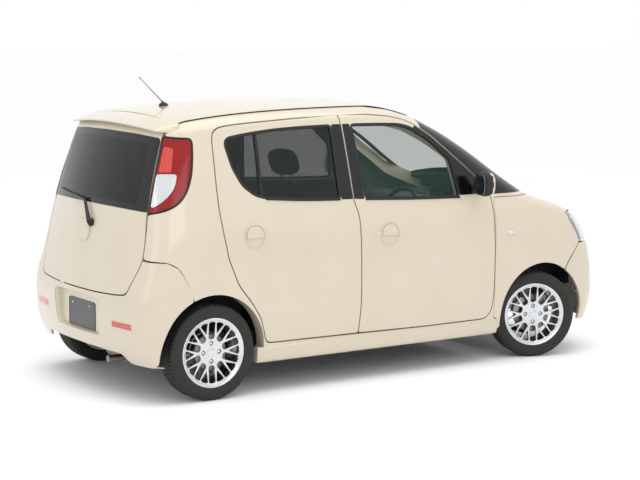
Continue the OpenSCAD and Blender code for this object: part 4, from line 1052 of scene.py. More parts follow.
CLEAR_CELL = [(0.546, 1.2506, 0.006), (0.608, 1.2530, 0.02), (0.6358, 1.2508, 0.006), (0.6291, 1.19, 0.03),
              (0.6044, 1.1431, 0.03), (0.5661, 1.103, 0.03), (0.531, 1.081, 0.006)]
RED_CELL = [(0.566, 1.4033, 0.006), (0.6164, 1.3963, 0.012), (0.6155, 1.333, 0.02), (0.6122, 1.266, 0.006),
            (0.550, 1.267, 0.006)]


def tail_lamps():
    """Tail lamp: a black housing, a red lens, an inner dark cell and a clear quarter cell with a bright rim."""
    flat = dict(pressed=False, step=0.009)
    both("tail_lamp_housing_{}", panel(rear_wrap, LAMP_RIM, lift=-0.001, depth=0.05, lip=0.002, **flat),
         BLACK_GLOSS, "chassis", "black_plastic")
    clear = outline(CLEAR_CELL, 0.02, 0.005)
    clear_out = outline(CLEAR_CELL, 0.02, 0.005, grow=0.005)
    inner = outline(RED_CELL, 0.01, 0.005)
    lens_rim = outline(LAMP_RIM, 0.0001, 0.006, grow=-0.009)
    both("tail_lamp_lens_{}", panel(rear_wrap, lens_rim, [clear_out, inner], lift=0.002, depth=0.006,
                                    lip=0.002,
         **flat), RED_LENS, "chassis", "lamp_red")
    both("tail_lamp_cell_{}", panel(rear_wrap, inner, lift=0.0005, depth=0.004, lip=0.001, **flat), PRISM,
         "chassis", "lamp_red")
    both("tail_lamp_rim_{}", panel(rear_wrap, clear_out, [clear], lift=0.003, depth=0.006, lip=0.001, **flat),
         CHROME, "chassis", "lamp_clear")
    both("tail_lamp_clear_{}", panel(rear_wrap, clear, lift=0.002, depth=0.003, lip=0.001, **flat),
         CLEAR_LENS,
         "chassis", "lamp_clear")
    both("tail_lamp_bowl_{}", panel(rear_wrap, clear, lift=-0.0003, depth=0.002, lip=0.001, **flat),
         REFLECTOR,
         "chassis", "lamp_clear")


tail_lamps()
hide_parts("tail_lamps")


# ---------------------------------------------------------------- front panels
HOOD = halves([(1.24, 0), (1.229, 0.20), (1.194, 0.40), (1.163, 0.50), (1.123, 0.603, 0.012), (1.25, 0.6035),
               (1.33, 0.592, 0.02), (1.445, 0.515), (1.475, 0.40), (1.488, 0.20), (1.492, 0)])
make("bonnet_skin", panel(on_top, outline(HOOD, 0.03, grow=-0.003), step=0.016, depth=0.022, lip=0.003,
                          back=1),
     [PAINT, UNDER], "bonnet_lid", "body_paint", ["bonnet"])


def fender_line():
    """The front fender in the side chart: door gap, top, lamp, bumper seam and wheel arch."""
    top = on_top(np.array([(1.128, 0.613), (1.25, 0.612), (1.33, 0.600)]))
    up = [(a, b, 0.008) for a, b in top[:, [0, 2]]]
    lamp = [(1.345, 0.905, 0.01), (1.367, 0.848), (1.408, 0.790), (1.446, 0.722, 0.006)]
    seam = [(1.446, 0.705, 0.004)]
    low = arc(FRONT_AXLE_X, AXLE_Z, ARCH_R, 57, 189, 60)
    return ([(0.7735, 1.018, 0.004), (1.094, 1.018, 0.004)] + up + lamp + seam + low
            + [(0.795, 0.197, 0.006), (0.795, 0.278, 0.004), (0.7735, 0.278, 0.004)])


both("fender_skin_{}", panel(on_side, outline(fender_line(), 0.012, 0.009), step=0.014, depth=0.014,
                             lip=0.002),
     PAINT, "chassis", "body_paint")
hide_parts("fenders")


def front_bumper_half():
    """Half outline of the front bumper in the wrap's parameters."""
    seam = side_to_wrap(1, [(1.449, 0.700)] + [q[:2] for q in arc(FRONT_AXLE_X, AXLE_Z, ARCH_R, 55, -11, 30)])
    seam = [(a, b, 0.004) for a, b in seam]
    end = seam[-1]
    lamp = side_to_wrap(1, [(1.449, 0.7)])[0]
    p = on_front(np.array([(0.0, 0.905), (0.25, 0.905), (0.41, 0.895), (0.455, 0.80), (0.455, 0.72),
                           (0.56, 0.692)]))
    top = [(a, b, 0.02) for a, b in zip(wrap_u(1, p), p[:, 2])]
    return top + [(lamp[0] - 0.01, 0.6965, 0.006)] + seam + [(end[0] - 0.03, 0.203, 0.01), (0.5, 0.20, 0.03),
                                                             (0, 0.20, 0.03)]


UPPER_GRILLE = [(0, 0.700), (0.30, 0.700, 0.02), (0.33, 0.642, 0.02), (0, 0.636)]
LOWER_GRILLE = [(0, 0.402), (0.33, 0.400, 0.03), (0.37, 0.300, 0.03), (0, 0.296)]


def to_wrap(end, chart, points):
    """A chart's points in the parameters of on_wrap."""
    pts = [q if len(q) > 2 else (*q, 0.02) for q in points]
    p = chart(np.array([q[:2] for q in pts], float))
    return [(u, z, q[2]) for u, z, q in zip(wrap_u(end, p), p[:, 2], pts)]


FOG_Y, FOG_Z = 0.56, 0.39
fog = [(FOG_Y + 0.045 * math.cos(a), FOG_Z + 0.045 * math.sin(a), 0.01)
       for a in np.linspace(0, 2 * np.pi, 20, endpoint=False)]
grilles = [outline(mirror_line(to_wrap(1, on_front, UPPER_GRILLE)), 0.02),
           outline(mirror_line(to_wrap(1, on_front, LOWER_GRILLE)), 0.02)]
fogs = [outline(to_wrap(1, on_front, [(s * y, z, r) for y, z, r in fog]), 0.01, 0.005) for s in (1, -1)]
make("front_bumper_skin", panel(front_wrap, outline(mirror_line(front_bumper_half()),
     0.02, 0.010), grilles + fogs, step=0.016, depth=0.016, lip=0.003), PAINT_TRIM, "chassis", "body_paint",
     ["front_bumper"])
for k, g in enumerate(grilles):
    mesh_rim = outline(g, 0.001, grow=0.004)
    make(f"grille_mesh_{k}", panel(front_wrap, mesh_rim, lift=-0.018, depth=0.004, lip=0.001, step=0.02,
         pressed=False), BLACK_GRAIN, "chassis", "black_plastic", ["grille"] if k == 0 else [])
    lo, hi = g.min(0), g.max(0)
    for j, z in enumerate(np.linspace(lo[1], hi[1], 5 if k else 4)[1:-1]):
        u = np.linspace(lo[0] + 0.012, hi[0] - 0.012, 60)
        inset = front_wrap(np.stack([u, np.full_like(u, z)], -1), 0.006)
        make(f"grille_bar_{k}_{j}", tube(inset, 0.006, 10), BLACK_GLOSS, "chassis", "black_plastic")
for side, sgn in (("left", 1), ("right", -1)):
    centre = on_front(np.array([(sgn * FOG_Y, FOG_Z)]), 0.018)[0]
    make(f"fog_lamp_{side}", lathe([(0, 0.006), (0.02, 0.005), (0.036, 0.001), (0.043, -0.006),
                                    (0.043, -0.03),
         (0, -0.03)], centre, gradient(np.array([centre]), 0.018)[0], 48), REFLECTOR, "chassis", "lamp_clear")


def headlamp():
    """Front lamp: dark housing, bright bowl and a clear shell flush with the body, in the wrap's parameters."""
    p = on_front(np.array([(0.432, 0.872), (0.415, 0.80), (0.448, 0.716), (0.56, 0.694)]))
    inner = [(u, z, 0.02) for u, z in zip(wrap_u(1, p), p[:, 2])]
    outer = side_to_wrap(1, [(1.445, 0.706), (1.404, 0.788), (1.364, 0.848), (1.338, 0.908), (1.318, 0.945)])
    outer = [(u, z, 0.02) for u, z in outer]
    p = on_front(np.array([(0.56, 0.925), (0.50, 0.897)]))
    top = [(u, z, 0.03) for u, z in zip(wrap_u(1, p), p[:, 2])]
    return inner + outer + top


lamp_rim = outline(headlamp(), 0.02, 0.008)
both("headlamp_shell_{}", panel(front_wrap, lamp_rim, lift=0.0, depth=0.004, lip=0.002, step=0.012,
     pressed=False), CLEAR_LENS, "chassis", "lamp_clear")
both("headlamp_housing_{}", panel(front_wrap, outline(headlamp(), 0.02, 0.008, grow=-0.004), lift=-0.022,
     depth=0.03, lip=0.002, step=0.012, pressed=False), BLACK_GLOSS, "chassis", "black_plastic")
for side, sgn in (("left", 1), ("right", -1)):
    for k, (y, z, r) in enumerate(((0.555, 0.790, 0.058), (0.628, 0.862, 0.032))):
        c = on_front(np.array([(sgn * y, z)]), 0.020)[0]
        make(f"headlamp_bowl_{side}_{k}", lathe([(0, -0.020), (r * 0.3, -0.018), (r * 0.7, -0.008),
                                                 (r, 0.004),
             (r * 1.06, 0.004), (r * 1.08, -0.01)], c, (0.93, sgn * 0.36, 0.05), 48), REFLECTOR, "chassis",
             "lamp_clear")
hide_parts("headlamps")

# Cowl: a grained tray under the screen, with two wiper arms lying on the glass.
make("cowl_tray", panel(on_top, outline(halves([(1.083, 0), (1.072, 0.25), (1.055, 0.45), (1.045, 0.588),
     (1.112, 0.596), (1.150, 0.50), (1.182, 0.40), (1.217, 0.20), (1.228, 0)]), 0.02, 0.01), lift=-0.004,
     depth=0.03, lip=0.003, step=0.018, pressed=False), BLACK_GRAIN, "chassis", "black_plastic", ["cowl"])


def wiper(points_xy, lift0, lift1, radius):
    """A rod lying over the windscreen along points seen from above."""
    xy = np.asarray(points_xy, float)
    t = np.linspace(0, 1, 40)
    u = np.stack([np.interp(t, np.linspace(0, 1, len(xy)), xy[:, k]) for k in (0, 1)], -1)
    return tube(on_top(u, 0.0) + np.array([0, 0, 1]) * np.linspace(lift0, lift1, 40)[:, None], radius, 10)


for k, (a, b, c) in enumerate((((1.128, -0.43), (1.075, -0.20), (1.045, 0.02)),
                               ((1.178, 0.13), (1.105, 0.36), (1.060, 0.57)))):
    make(f"screen_wiper_arm_{k}", wiper((a, b), 0.012, 0.014, 0.006), BLACK_SATIN, "chassis", "black_plastic")
    make(f"screen_wiper_blade_{k}", wiper(((b[0] + 0.02, b[1] - 0.16), b, c), 0.006, 0.006, 0.005), RUBBER,
         "chassis", "black_plastic")


# ---------------------------------------------------------------- wheels
FACE = [(0.0, 0.050), (0.03, 0.0505), (0.065, 0.0525), (0.11, 0.0565), (0.15, 0.061), (0.176, 0.0655),
        (0.19, 0.069)]


def wheel_chart(uv, o=0.0):
    """The wheel's dished face: parameters across the disc, height from the face curve."""
    r = np.hypot(uv[:, 0], uv[:, 1])
    return np.stack([uv[:, 0], uv[:, 1], curve(FACE, r) - o], -1)


def wheel_normal(uv):
    """Normals of the wheel's face."""
    r = np.maximum(np.hypot(uv[:, 0], uv[:, 1]), 1e-6)
    d = (curve(FACE, r + 5e-4) - curve(FACE, np.maximum(r - 5e-4, 0))) / 1e-3
    n = np.stack([-d * uv[:, 0] / r, -d * uv[:, 1] / r, np.ones(len(uv))], -1)
    return n / np.linalg.norm(n, axis=1, keepdims=True)


def turned_points(points, degrees):
    """Outline points turned about the middle."""
    a = math.radians(degrees)
    return [(x * math.cos(a) - y * math.sin(a), x * math.sin(a) + y * math.cos(a), r) for x, y, r in points]


SLOT = [(0.074, -0.0195, 0.018), (0.120, -0.0190, 0.01), (0.167, -0.0205, 0.004), (0.173, 0, 0.01),
        (0.167, 0.0205, 0.004), (0.120, 0.0190, 0.01), (0.074, 0.0195, 0.018)]
TRIANGLE = [(0.108, 0, 0.003), (0.166, -0.0245, 0.004), (0.1725, 0, 0.01), (0.166, 0.0245, 0.004)]
NUT_R, NUT_CIRCLE = 0.0125, 0.050


def circle(x, y, r, n=36):
    """Points of a circle."""
    t = np.linspace(0, 2 * np.pi, n, endpoint=False)
    return np.stack([x + r * np.cos(t), y + r * np.sin(t)], -1)


def wheel_shells(front):
    """The wheel's pieces about its own middle, the third coordinate outward: rim, nuts, brake, calliper."""
    holes = [outline(turned_points(SLOT, 36 * k), 0.01, 0.0045) for k in range(10)]
    holes += [outline(turned_points(TRIANGLE, 36 * k + 18), 0.004, 0.0045) for k in range(10)]
    holes += [circle(NUT_CIRCLE * math.cos(math.radians(90 * k)), NUT_CIRCLE * math.sin(math.radians(90 * k)),
                     NUT_R) for k in range(4)]
    face = panel(wheel_chart, circle(0, 0, 0.1765, 160), holes, step=0.0065, depth=0.015, lip=0.0032,
                 pressed=False, normal=wheel_normal)
    z = (0, 0, 1)
    lip = lathe([(0.1745, 0.050), (0.1745, 0.0640), (0.1775, 0.0665), (0.184, 0.0700), (0.1905, 0.0735),
                 (0.1945, 0.0735), (0.196, 0.0715), (0.196, 0.0670), (0.1885, 0.0640), (0.1830, 0.0500),
                 (0.1760, 0.030), (0.1760, -0.060), (0.196, -0.068), (0.196, -0.0735), (0.190, -0.0735),
                 (0.1710, -0.062), (0.1690, 0.0300), (0.1730, 0.046), (0.1745, 0.050)], (0, 0, 0), z, 144)
    cap = lathe([(0, 0.0555), (0.010, 0.0553), (0.020, 0.0545), (0.0265, 0.0525), (0.0275, 0.050),
                 (0.0275, 0.040)], (0, 0, 0), z, 64)
    parts = [face, lip, cap]
    bright = joined(*parts)
    nuts = []
    for k in range(4):
        a = math.radians(90 * k)
        c = (NUT_CIRCLE * math.cos(a), NUT_CIRCLE * math.sin(a), 0.0)
        nuts.append(lathe([(0, 0.0495), (0.005, 0.049), (0.0088, 0.0455), (0.0092, 0.034), (0.0118, 0.034),
                           (0.0118, 0.030)], c, z, 6))
    nuts = joined(*nuts)
    if front:
        brake = joined(lathe([(0.060, 0.0195), (0.062, 0.0200), (0.117, 0.0200), (0.118, 0.0190),
                              (0.118, 0.0090),
                              (0.117, 0.0080), (0.060, 0.0080)], (0, 0, 0), z, 96),
                       lathe([(0, 0.046), (0.062, 0.046), (0.064, 0.044), (0.064, 0.008)], (0, 0, 0), z, 64))
        angle = np.radians(np.linspace(35, 85, 14))
        rows = []
        for q in angle:
            ring_ = super_loop(0.020, 0.026, 5, 24)
            rr = 0.112 + ring_[:, 0]
            rows.append(np.stack([rr * math.cos(q), rr * math.sin(q), 0.014 + ring_[:, 1] * 0.9], -1))
        calliper = loft(rows)
    else:
        brake = lathe([(0, 0.046), (0.060, 0.045), (0.064, 0.042), (0.100, 0.036), (0.1035, 0.030),
                       (0.1035, -0.010), (0.108, -0.012), (0.108, -0.016), (0.02, -0.016)], (0, 0, 0), z, 96)
        calliper = None
    return bright, nuts, brake, calliper


def tyre_shell():
    """A tyre: an outer profile carried round the axle, its tread cut by three grooves and slanting sipes."""
    outer = [(0.1900, 0.0680), (0.1935, 0.0715), (0.1960, 0.0745), (0.2010, 0.0765), (0.2080, 0.0790),
             (0.2160, 0.0810), (0.2250, 0.0824), (0.2330, 0.0822), (0.2400, 0.0806), (0.2470, 0.0782),
             (0.2530, 0.0752), (0.2578, 0.0722), (0.2612, 0.0690), (0.2638, 0.0655), (0.2656, 0.0615),
             (0.2668, 0.0570), (0.2676, 0.0520), (0.2681, 0.0460)]
    flat = [(0.2685, w) for w in np.arange(0.0420, -0.0421, -0.0028)]
    profile = np.array(outer + flat + [(r, -w) for r, w in reversed(outer)])
    d = np.concatenate([[0], np.cumsum(np.linalg.norm(np.diff(profile, axis=0), axis=1))])
    s = np.linspace(0, d[-1], 120)
    pr = np.stack([np.interp(s, d, profile[:, k]) for k in (0, 1)], -1)
    t = np.linspace(0, 2 * np.pi, 360, endpoint=False)
    r, w = np.broadcast_to(pr[:, 0], (360, 120)).copy(), np.broadcast_to(pr[:, 1], (360, 120))
    tread = ramp(r, 0.2640, 0.2672)
    groove = sum(bump(w, g, 0.0032) ** 2 for g in (-0.026, 0.0, 0.026))
    phase = t[:, None] * 70 + np.abs(w) * 60
    sipe = np.clip(np.cos(phase) * 6 - 4.6, 0, 1) * ramp(np.abs(w), 0.028, 0.034)
    r -= 0.0060 * tread * np.clip(groove, 0, 1) + 0.0045 * sipe * ramp(r, 0.2590, 0.2660)
    r += 0.0008 * bump(r, 0.2260, 0.0016) + 0.0006 * bump(r, 0.2105, 0.0012)
    p = np.stack([r * np.cos(t)[:, None], r * np.sin(t)[:, None], w], -1)
    inner = np.array([(0.1900, -0.0680), (0.1785, -0.0660), (0.1785, 0.0660), (0.1900, 0.0680)])[1:3]
    q = np.stack([inner[None, :, 0] * np.cos(t)[:, None], inner[None, :, 0] * np.sin(t)[:, None],
                  np.broadcast_to(inner[:, 1], (360, 2))], -1)
    g = np.concatenate([p, q], axis=1)
    n, m = g.shape[:2]
    i = np.repeat(np.arange(n), m)
    k = np.tile(np.arange(m), n)
    quads = np.stack([i * m + k, i * m + (k + 1) % m, ((i + 1) % n) * m + (k + 1) % m,
                      ((i + 1) % n) * m + k], -1)
    return shell(g.reshape(-1, 3), quads[:, ::-1].tolist())


def placed(s, centre, axis):
    """A wheel piece put at its place: its third coordinate along axis, its first upward."""
    w = np.array(axis, float) / np.linalg.norm(axis)
    up = np.array([0.0, 0.0, 1.0])
    side = np.cross(w, up)
    m = np.stack([up, side, w])
    out = dict(s)
    out["p"] = s["p"] @ m + np.asarray(centre, float)
    if s["n"] is not None:
        out["n"] = [q @ m for q in s["n"]]
    if np.linalg.det(m) < 0:
        out["f"] = [list(f)[::-1] for f in s["f"]]
        if s["n"] is not None:
            out["n"] = [q[::-1] for q in out["n"]]
    return out


TYRE_SHELL = tyre_shell()
for end in ("front", "rear"):
    shells = wheel_shells(end == "front")
    for side, sgn in (("left", 1), ("right", -1)):
        j = JOINT[f"spin_{end}_{side}"]
        centre, axis = np.array(j["pos_m"], float), np.array(j["axis"], float)
        axis = axis * np.sign(axis[1] * sgn)
        where, tag = f"wheel_{end}_{side}", f"{end}_{side}"
        make(f"wheel_{tag}", placed(shells[0], centre, axis), ALLOY, where, "wheel_alloy", [f"rim_{tag}"],
             smooth=35)
        make(f"wheel_nuts_{tag}", placed(shells[1], centre, axis), CHROME, where, "wheel_alloy", smooth=30)
        make(f"brake_{tag}", placed(shells[2], centre, axis), BRAKE, where, "chassis_steel", smooth=30)
        if shells[3] is not None:
            hub = f"hub_{side}"
            make(f"calliper_{tag}", placed(shells[3], centre, axis), CAST, hub, "cast_block", smooth=40)
        make(f"tyre_tread_{tag}", placed(TYRE_SHELL, centre, axis), TYRE, where, "tyre", [f"tyre_{tag}"],
             smooth=32)


# ---------------------------------------------------------------- mirrors, handles, skirts
MIRROR_GLASS = metal("silvered_mirror_glass", "#7F878C", "#939BA0", 0.05, 8.0, 0.01)
flat_on_side = dict(pressed=False, step=0.009)


def mirror_pod():
    """A door mirror: rounded box sections carried outward along a short arm into a closed housing."""
    rows, y = [], np.array([0.700, 0.722, 0.734, 0.744, 0.754, 0.775, 0.805, 0.84, 0.860, 0.868, 0.872])
    a = curve([(0.70, 0.020), (0.734, 0.024), (0.752, 0.040), (0.79, 0.0435), (0.84, 0.039), (0.86, 0.028),
               (0.872, 0.008)], y)
    b = curve([(0.70, 0.020), (0.734, 0.028), (0.752, 0.060), (0.79, 0.071), (0.84, 0.068), (0.86, 0.054),
               (0.872, 0.018)], y)
    drop = curve([(0.70, -0.028), (0.734, -0.024), (0.755, -0.004), (0.80, 0.0), (0.862, 0.0)], y)
    for k, q in enumerate(y):
        loop = super_loop(a[k], b[k], 3.2, 40)
        rows.append(np.stack([0.618 + 0.06 * (q - 0.70) + loop[:, 0], np.full(40, q),
                              1.115 + drop[k] + loop[:, 1]],
                             -1))
    m = loft(rows)
    face = np.array([m["p"][list(f)].mean(0) for f in m["f"]])
    m["m"] = np.where((face[:, 0] > 0.632) & (face[:, 1] > 0.742), 1, 0)
    return m


def mirror_glass():
    """The mirror: a thin rounded plate facing back."""
    rows = []
    for x, k in ((0.5830, 1.0), (0.5805, 1.0), (0.5795, 0.985), (0.5793, 0.6), (0.5793, 0.05)):
        loop = super_loop(0.047 * k, 0.060 * k, 3.6, 40)
        rows.append(np.stack([np.full(40, x), 0.806 + loop[:, 0], 1.115 + loop[:, 1]], -1)[::-1])
    return loft(rows)


both("door_mirror_{}", mirror_pod(), [BLACK_GRAIN, PAINT_TRIM], "door_front_{}", "black_plastic", smooth=50)
both("mirror_glass_{}", mirror_glass(), MIRROR_GLASS, "door_front_{}", "lamp_clear", smooth=40)


def side_disc(x, z, r):
    """A disc outline on the side."""
    return circle(x, z, r, 72)


for where, x, z in (("rear", -0.946, 0.899), ("front", -0.024, 0.854)):
    tag, body = "{}", f"door_{where}_" + "{}"
    both(f"handle_bowl_{where}_" + tag, panel(on_side, side_disc(x, z, 0.0625), lift=0.0010, depth=0.002,
                                              lip=0.0008,
         **flat_on_side), PAINT_TRIM, body, "body_paint")
    both(f"handle_ring_{where}_" + tag, panel(on_side, side_disc(x, z, 0.070), [circle(x, z, 0.0615, 64)],
         lift=0.0045, depth=0.006, lip=0.0022, **flat_on_side), PAINT_TRIM, body, "body_paint")
    both(f"handle_flap_{where}_" + tag, panel(on_side, outline([(x - 0.057, z - 0.010, 0.006),
         (x - 0.055, z + 0.022, 0.03), (x - 0.030, z + 0.054, 0.04), (x + 0.030, z + 0.054, 0.04),
         (x + 0.055, z + 0.022, 0.03), (x + 0.057, z - 0.010, 0.006)], 0.01, 0.005), lift=0.0105, depth=0.011,
         lip=0.003, **flat_on_side), PAINT_TRIM, body, "body_paint")
both("key_pod_{}", panel(on_side, side_disc(-0.110, 0.856, 0.021), lift=0.003, depth=0.004, lip=0.0018,
     **flat_on_side), PAINT_TRIM, "door_front_{}", "body_paint")
both("key_barrel_{}", panel(on_side, side_disc(-0.110, 0.856, 0.0085), lift=0.0042, depth=0.003, lip=0.001,
     **flat_on_side), CHROME, "door_front_{}", "chassis_steel")
OVAL = np.stack([0.897 + 0.031 * np.cos(np.linspace(0, 2 * np.pi, 60, endpoint=False)),
                 0.801 + 0.0125 * np.sin(np.linspace(0, 2 * np.pi, 60, endpoint=False))], -1)
both("side_indicator_{}", panel(on_side, OVAL, lift=0.006, depth=0.007, lip=0.003, **flat_on_side), REFLECTOR,
     "chassis", "lamp_clear")


def skirt():
    """The sill skirt: one moulded section carried along the sill, tucked in towards both ends."""
    rows = []
    for x in np.concatenate([[-0.925, -0.9235], np.linspace(-0.92, 0.80, 50), [0.8035, 0.805]]):
        z = np.array([0.268, 0.262, 0.235, 0.205, 0.186, 0.178, 0.176, 0.190, 0.262, 0.268])
        out = np.array([0.000, 0.0065, 0.0090, 0.0090, 0.0050, -0.004, -0.040, -0.050, -0.050, -0.010])
        y = on_side(np.stack([np.full(10, x), np.maximum(z, 0.215)], -1))[:, 1]
        tuck = 0.004 * (bump(np.array([x]), -0.925, 0.004) + bump(np.array([x]), 0.805, 0.004))[0]
        rows.append(np.stack([np.full(10, x), np.minimum(y + out - tuck, 0.742), z + (tuck if tuck else 0)],
                             -1))
    return loft(np.array(rows)[:, ::-1])


both("sill_skirt_{}", skirt(), PAINT_TRIM, "chassis", "body_paint", smooth=40)
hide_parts("side_skirts")

for label, line in (("front", [(-0.176, 1.060), (0.17, 1.044), (0.512, 1.034)]),
                    ("rear", [(-0.354, 1.068), (-0.60, 1.078), (-0.850, 1.097)])):
    x = np.linspace(line[0][0], line[-1][0], 50)
    z = curve(sorted(line), x)
    both(f"waist_seal_{label}_" + "{}", tube(on_side(np.stack([x, z], -1), -0.002), 0.0055, 10), RUBBER,
         f"door_{label}_" + "{}", "black_plastic")

# ---------------------------------------------------------------- rear wiper, antenna, undertray
axis_at = on_rear(np.array([(-0.095, 0.955)]))[0]
out_way = gradient(axis_at[None], 0.0)[0]
out_way = out_way / np.linalg.norm(out_way)
make("rear_wiper_pivot", lathe([(0, 0.024), (0.012, 0.0235), (0.019, 0.020), (0.022, 0.012), (0.023, 0.001)],
     axis_at, out_way, 40), BLACK_GRAIN, "tailgate_lid", "black_plastic", ["rear_wiper"])


def lifted(points, lifts, n=40):
    """A curve over the tailgate, each point standing clear of it by its own lift."""
    pts = np.asarray(points, float)
    t, k = np.linspace(0, 1, n), np.linspace(0, 1, len(pts))
    u = np.stack([np.interp(t, k, pts[:, q]) for q in (0, 1)], -1)
    p = on_rear(u)
    g = gradient(p, 0.0)
    g /= np.linalg.norm(g, axis=1, keepdims=True)
    return p + g * np.interp(t, k, lifts)[:, None]


make("rear_wiper_arm", tube(lifted([(-0.095, 0.955), (-0.055, 1.005), (0.0, 1.068), (0.16, 1.082)],
     [0.020, 0.019, 0.017, 0.014]), np.linspace(0.0135, 0.0055, 40), 12), BLACK_SATIN, "tailgate_lid",
     "black_plastic")
make("rear_wiper_blade", tube(lifted([(-0.02, 1.083), (0.20, 1.090), (0.42, 1.098)], [0.006, 0.007, 0.006]),
     0.0052, 10), RUBBER, "tailgate_lid", "black_plastic")

top_z = float(curve(ROOF_LINE, np.array([-1.115]))[0])
rows = []
for z, a, b in ((-0.004, 0.030, 0.0205), (0.004, 0.029, 0.0195), (0.012, 0.024, 0.015), (0.018, 0.016, 0.010),
                (0.021, 0.007, 0.005)):
    loop = super_loop(a, b, 2.2, 32)
    rows.append(np.stack([-1.118 - 0.10 * z + loop[:, 0], loop[:, 1], top_z + z + 0 * loop[:, 0]], -1))
make("antenna_base", loft(rows), BLACK_GRAIN, "chassis", "black_plastic", ["antenna"], smooth=50)
t = np.linspace(0, 1, 40)
whip = np.stack([-1.118 - 0.158 * t, 0 * t, top_z + 0.016 + 0.150 * t], -1)
thick = np.interp(t, [0, 0.08, 0.10, 0.96, 0.97, 1.0], [0.0052, 0.0045, 0.0027, 0.0020, 0.0032, 0.0028])
make("antenna_whip", tube(whip, thick, 12), BLACK_SATIN, "chassis", "black_plastic")

rows = []
for q in np.linspace(-1, 1, 31):
    loop = super_loop(0.050, 0.036 * (1 - 0.5 * q**8), 3.0, 28)
    rows.append(np.stack([-1.600 + 0.035 * q * q + loop[:, 0], np.full(28, 0.42 * q), 0.292 + loop[:, 1]],
                         -1))
make("rear_undertray", loft(rows), BLACK_GRAIN, "chassis", "black_plastic", smooth=50)
GARNISH = [(0.086, 0.966, 0.02), (-0.066, 0.972, 0.02), (-0.092, 0.905, 0.03), (-0.070, 0.850, 0.03),
           (0.052, 0.850, 0.03), (0.088, 0.900, 0.03)]
make("tailgate_garnish", panel(on_rear, outline(GARNISH, 0.02, 0.008), lift=0.010, depth=0.011, lip=0.006,
                               step=0.012,
     pressed=False), PAINT_TRIM, "tailgate_lid", "body_paint")


# ---------------------------------------------------------------- seats and controls
def cushion(centre, size, tilt=0.0, crown=0.02, bolster=0.0, power=5.0, seams=(), n=56):
    """A stuffed block: a cube grid pulled onto |x/a|^p + |y/b|^p + |z/c|^p = 1, its face crowned, raised
    in two bolsters at its sides and sunk along each seam. size is depth, width, thickness; tilt leans it back
    about the sideways axis."""
    m = n // 2
    t = np.linspace(-1, 1, n)
    w = np.linspace(-1, 1, m)
    pts, faces, start = [], [], 0
    for axis in range(3):
        for sign in (-1, 1):
            a, b = np.meshgrid(t, t if axis == 2 else w, indexing="ij")
            q = np.zeros((*a.shape, 3))
            others = [k for k in range(3) if k != axis]
            q[..., others[0]], q[..., others[1]], q[..., axis] = a, b, sign
            h, v = a.shape
            i, k = np.meshgrid(np.arange(h - 1), np.arange(v - 1), indexing="ij")
            i, k = i.ravel(), k.ravel()
            f = np.stack([i * v + k, (i + 1) * v + k, (i + 1) * v + k + 1, i * v + k + 1], -1) + start
            flipped = (sign > 0) == (axis == 1)
            faces += (f[:, ::-1] if flipped else f).tolist()
            pts.append(q.reshape(-1, 3))
            start += h * v
    q = np.vstack(pts)
    key = np.round(q, 6)
    _, first, back = np.unique(key, axis=0, return_index=True, return_inverse=True)
    q = q[first]
    back = back.reshape(-1)
    faces = [[int(back[k]) for k in f] for f in faces]
    r = (np.abs(q) ** power).sum(1) ** (1 / power)
    u = q / r[:, None]
    half = np.asarray(size, float) / 2
    p = u * half
    face = np.clip(u[:, 2], 0, 1)
    p[:, 2] += face * (crown * (1 - u[:, 0] ** 2) * (1 - u[:, 1] ** 2) + bolster * np.abs(u[:, 1]) ** 6)
    for kind, where in seams:
        d = u[:, 1] if kind == "along" else u[:, 0]
        p[:, 2] -= 0.007 * face * sum(bump(d, g, 0.020) for g in ((where,
                                                                   -where) if kind == "along" else (where,)))
    a = math.radians(tilt)
    turn = np.array([[math.cos(a), 0, math.sin(a)], [0, 1, 0], [-math.sin(a), 0, math.cos(a)]])
    return shell(p @ turn.T + np.asarray(centre, float), faces)


def seat_parts(y, w, x, z, back_len, lean, name, rest_x, rest_z):
    """One seat: cushion, back, headrest and its two posts. The back is a cushion stood up and leant."""
    out = []
    seat = cushion((x, y, z), (0.50, w, 0.135), -4.0, 0.022, 0.020, 5.0, (("along", 0.58), ("across", 0.30)))
    tall = back_len
    mid = (x - 0.265 - math.sin(math.radians(lean)) * tall / 2, y,
           z + 0.02 + math.cos(math.radians(lean)) * tall / 2)
    back = cushion(mid, (tall, w * 0.97, 0.120), 90.0 - lean + 180.0, 0.020, 0.022, 4.5,
                   (("along", 0.60), ("across", -0.35)))
    rest = cushion((rest_x, y, rest_z), (0.150, 0.250, 0.095), 90.0 - lean + 180.0, 0.012, 0.0, 3.2,
                   (("along", 0.80),), 32)
    for tag, piece in (("cushion", seat), ("back", back), ("headrest", rest)):
        out.append((f"{name}_{tag}", piece))
    way = np.array([-math.sin(math.radians(lean)), 0, math.cos(math.radians(lean))])
    posts = [tube(np.array([np.array([rest_x, y + d, rest_z]) + way * k for k in np.linspace(-0.13, 0.0, 5)]),
                  0.0055, 10) for d in (-0.055, 0.055)]
    return out, joined(*posts)


def add_seat(node, first, *args):
    """Makes one seat; the first of a row stands for the CAD node."""
    pieces, posts = seat_parts(*args)
    for k, (name, piece) in enumerate(pieces):
        make(name, piece, SEAT_CLOTH, "chassis", "seat_fabric", [node] if first and k == 0 else [], smooth=60)
    make(args[6] + "_posts", posts, CHROME, "chassis", "chassis_steel", smooth=50)


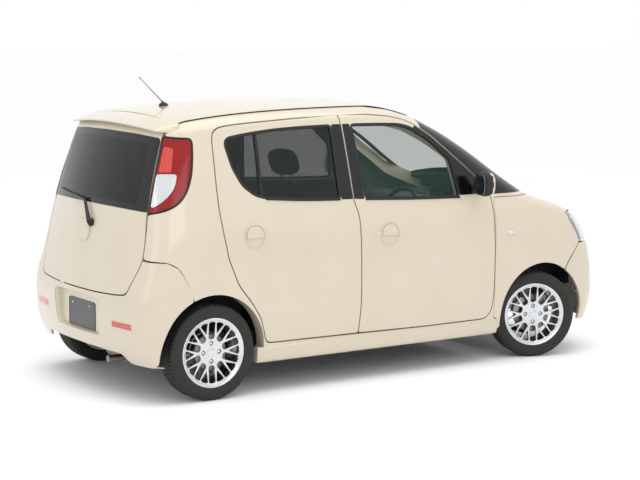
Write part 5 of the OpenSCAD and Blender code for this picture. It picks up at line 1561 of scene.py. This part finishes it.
for k, (side, y) in enumerate((("left", 0.31), ("right", -0.31))):
    add_seat("front_seats", k == 0, y, 0.47, -0.055, 0.500, 0.60, 17.0, f"front_seat_{side}", -0.492, 1.262)
for k, (side, y) in enumerate((("left", 0.238), ("right", -0.238))):
    add_seat("rear_seat", k == 0, y, 0.472, -0.735, 0.530, 0.58, 13.0, f"rear_seat_{side}", -1.052, 1.235)
    make(f"front_seat_frame_{side}", cushion((-0.06, (0.31, -0.31)[k], 0.385), (0.42, 0.40, 0.16), 0, 0.0,
                                             0.0,
         9.0, (), 24), TRIM_DARK, "chassis", "dash_plastic", smooth=40)

at = JOINT["steering_turn"]
hub_at, hub_way = np.array(at["pos_m"], float), np.array(at["axis"], float)
to_driver = hub_way * (1 if hub_way[0] < 0 else -1)
rim_t = np.linspace(0, 2 * np.pi, 96, endpoint=False)
side_way = np.array([0, 1.0, 0])
up_way = np.cross(to_driver, side_way)
up_way *= np.sign(up_way[2])
rim = hub_at + 0.171 * (np.cos(rim_t)[:, None] * side_way + np.sin(rim_t)[:, None] * up_way)
parts = [tube(rim, 0.0135, 16, True)]
for a in (90 + 180, 20, 160):
    way = math.cos(math.radians(a)) * side_way + math.sin(math.radians(a)) * up_way
    cross = np.cross(to_driver, way)
    rows = []
    for q, d in zip(np.linspace(0.05, 0.166, 8), np.linspace(-0.012, 0.0, 8)):
        loop = super_loop(0.017 - 0.03 * (q - 0.05), 0.006, 3, 20)
        rows.append(hub_at + way * q + to_driver * d + cross * loop[:, :1] + to_driver * loop[:, 1:])
    parts.append(loft(rows))
make("steering_rim", joined(*parts), BLACK_GRAIN, "steering", "black_plastic", ["steering_wheel"], smooth=50)
make("steering_hub", lathe([(0, 0.012), (0.030, 0.010), (0.052, 0.003), (0.062, -0.010), (0.064, -0.022),
     (0.052, -0.040), (0.040, -0.075), (0.036, -0.080)], hub_at, to_driver, 64), TRIM_DARK, "steering",
     "dash_plastic",
     smooth=40)

CARRIED = {"floor_pan": UNDER, "dashboard": TRIM_DARK, "engine_block": CAST, "front_subframe": STEEL,
           "rear_axle": STEEL, "exhaust": EXHAUST, "fuel_tank": BLACK_GRAIN, "knuckle_left": CAST,
           "knuckle_right": CAST}
for node, material in CARRIED.items():
    found = bpy.data.objects[node]
    found.data.materials.clear()
    found.data.materials.append(material)
